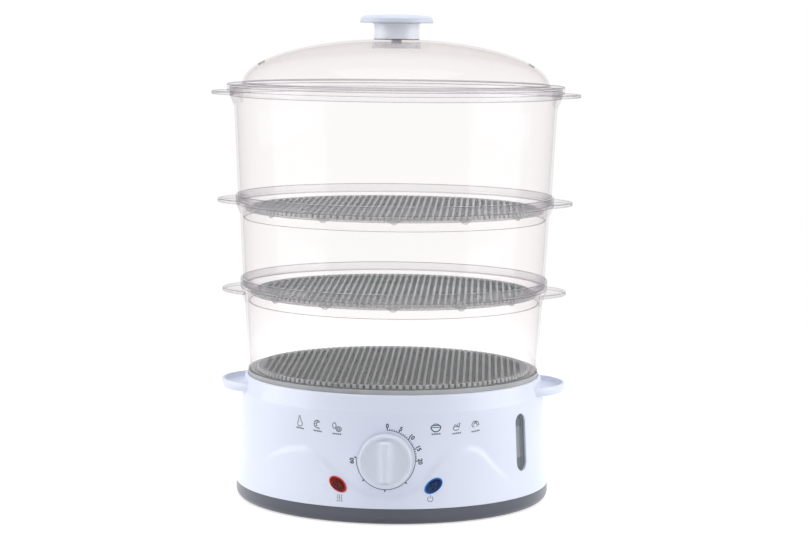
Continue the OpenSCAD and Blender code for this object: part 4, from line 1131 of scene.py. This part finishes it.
def lid_knob():
    """A mushroom knob: a slightly domed cap on a drawn-in stem, with a thin line at its foot. Its white is
    darkened on the cap as painted shade and lightened on the stem as painted light against the cap's shadow,
    and the foot line is a painted shadow line.
    """
    r, stem = 30.4, 19.2
    top, line_top = PAD_Z + 20.6, PAD_Z + 0.8
    disc = top - 6.9
    pts = [(0, PAD_Z - PAD_T, 0), (STUD_R, PAD_Z - PAD_T, 0.2), (STUD_R, PAD_Z, 0),
           (stem - 0.5, PAD_Z, 0), (stem - 0.5, line_top, 0), (stem, line_top, 0.3),
           (stem - 0.8, PAD_Z + 5, 6), (stem - 0.5, disc - 1, 0.8), (stem + 1.2, disc, 0.6),
           (r - 0.5, disc, 0.5), (r, disc + 0.8, 0.7), (r - 1.2, disc + 4.2, 1.8),
           (r - 4.2, disc + 6.0, 2.5), (r * 0.45, disc + 6.8, 5), (0, top, 0)]
    pts = fillet(pts, 0.4, 5)
    cap, neck, foot = range(3)

    # The groove at the foot takes the painted shadow line, the stem and the cap the painted lit and shaded
    # whites
    def rule(q, z):
        if q > stem - 0.8 and PAD_Z < z < line_top - 0.01:
            return foot
        return neck if z < disc - 0.5 else cap

    b = Build()
    b.add(*revolve(pts, 128), segment_mats(pts, rule, 128))
    looks = ["white_cap_shaded_plastic", "white_stem_lit_plastic", "knob_foot_shadow_plastic"]
    b.make("lid_knob_looks", "lid", "white_plastic", looks, 40, swap=("lid_knob",))


lid_knob()


# ------ camera, floor and light

# The photograph's camera: in pixels, in mm for the sensor, and in metres and radians for the place
IMAGE_W, FOCAL_PX, OFF_AXIS_PX, SENSOR = 808, 2354, 10, 36
AWAY, TURN, HEIGHT, DOWN, ROLL = 1.945, radians(2.2), 0.398, radians(6.13), radians(0.66)

camera = new_object("camera", bpy.data.cameras.new("camera"))
scene.camera = camera
camera.data.sensor_width = SENSOR
camera.data.lens = FOCAL_PX / IMAGE_W * SENSOR
camera.data.clip_end = 50
yaw = TURN - atan(OFF_AXIS_PX / FOCAL_PX)
camera.matrix_world = (Matrix.Translation(round_point(AWAY, TURN, HEIGHT)) @ rot(yaw)
                       @ rot(pi / 2 - DOWN, "X") @ rot(ROLL))


def studio_floor():
    """Pale paper that turns into plain white away from the object, and looks white in reflections."""
    half, glow_share, near, far = 9, 0.62, 0.35, 1.3          # metres, but for glow_share
    mesh = bpy.data.meshes.new("floor")
    mesh.from_pydata([(-half, -half, 0), (half, -half, 0), (half, half, 0), (-half, half, 0)], [],
                     [[0, 1, 2, 3]])
    floor = new_object("floor", mesh)
    mat, nt = new_material("floor_paper")
    paper = node(nt, "BsdfPrincipled", Base_Color=(0.8, 0.8, 0.8, 1), Roughness=0.9, Specular_IOR_Level=0.1)
    path = node(nt, "LightPath").outputs
    seen = calc(nt, "MAXIMUM", path["Is Camera Ray"], path["Is Glossy Ray"])
    seen = calc(nt, "MAXIMUM", seen, path["Is Transmission Ray"])
    glow = node(nt, "Emission", Strength=calc(nt, "MULTIPLY", seen, glow_share))
    white = node(nt, "Emission", Strength=seen)
    lit = node(nt, "AddShader", paper.outputs[0], glow.outputs[0])
    away = node(nt, "VectorMath", node(nt, "NewGeometry").outputs["Position"], operation="LENGTH")
    fade = ramp(nt, away.outputs["Value"], near, far, 0, 1)
    node(nt, "OutputMaterial", mix(nt, fade, lit.outputs[0], white.outputs[0]))
    mesh.materials.append(mat)


studio_floor()


def studio_world():
    """A plain pale light that is seen as white, and a little less so in reflections."""
    world = bpy.data.worlds.new("studio")
    scene.world = world
    world.use_nodes = True
    nt = world.node_tree
    nt.nodes.clear()
    air = node(nt, "Background", (0.93, 0.96, 1, 1), Strength=0.5)
    white = node(nt, "Background", (1, 1, 1, 1), Strength=1.0)
    path = node(nt, "LightPath").outputs
    seen = calc(nt, "MAXIMUM", path["Is Camera Ray"], path["Is Transmission Ray"])
    seen = calc(nt, "MAXIMUM", seen, calc(nt, "MULTIPLY", path["Is Glossy Ray"], 0.8))
    node(nt, "OutputWorld", mix(nt, seen, air.outputs[0], white.outputs[0]))


studio_world()


def softbox(name, where, aim, size, watts, shines=True):
    """A soft rectangular lamp, in metres; one that doesn't shine isn't seen in reflections."""
    data = bpy.data.lights.new(name, "AREA")
    data.shape, data.energy = "RECTANGLE", watts
    data.size, data.size_y = size
    ob = new_object(name, data)
    ob.location = where
    ob.rotation_euler = (Vector(aim) - Vector(where)).to_track_quat("-Z", "Y").to_euler()
    ob.visible_camera = False
    ob.visible_glossy = shines


softbox("left_box", (-1.45, -0.12, 0.55), (0, 0, 0.2), (1.4, 1.2), 11.8)
softbox("right_box", (1.45, -0.12, 0.55), (0, 0, 0.2), (1.4, 1.2), 11.8)
softbox("front_box", (0, -2.0, 0.8), (0, 0, 0.25), (1.2, 0.9), 2.3, False)
softbox("top_box", (0, -0.1, 1.9), (0, 0, 0.2), (1.4, 1.4), 16)

scene.view_settings.view_transform = "Standard"
# Enough bounces for light to pass all the clear walls
scene.cycles.transparent_max_bounces = 48
scene.cycles.max_bounces = 16
scene.cycles.transmission_bounces = 12
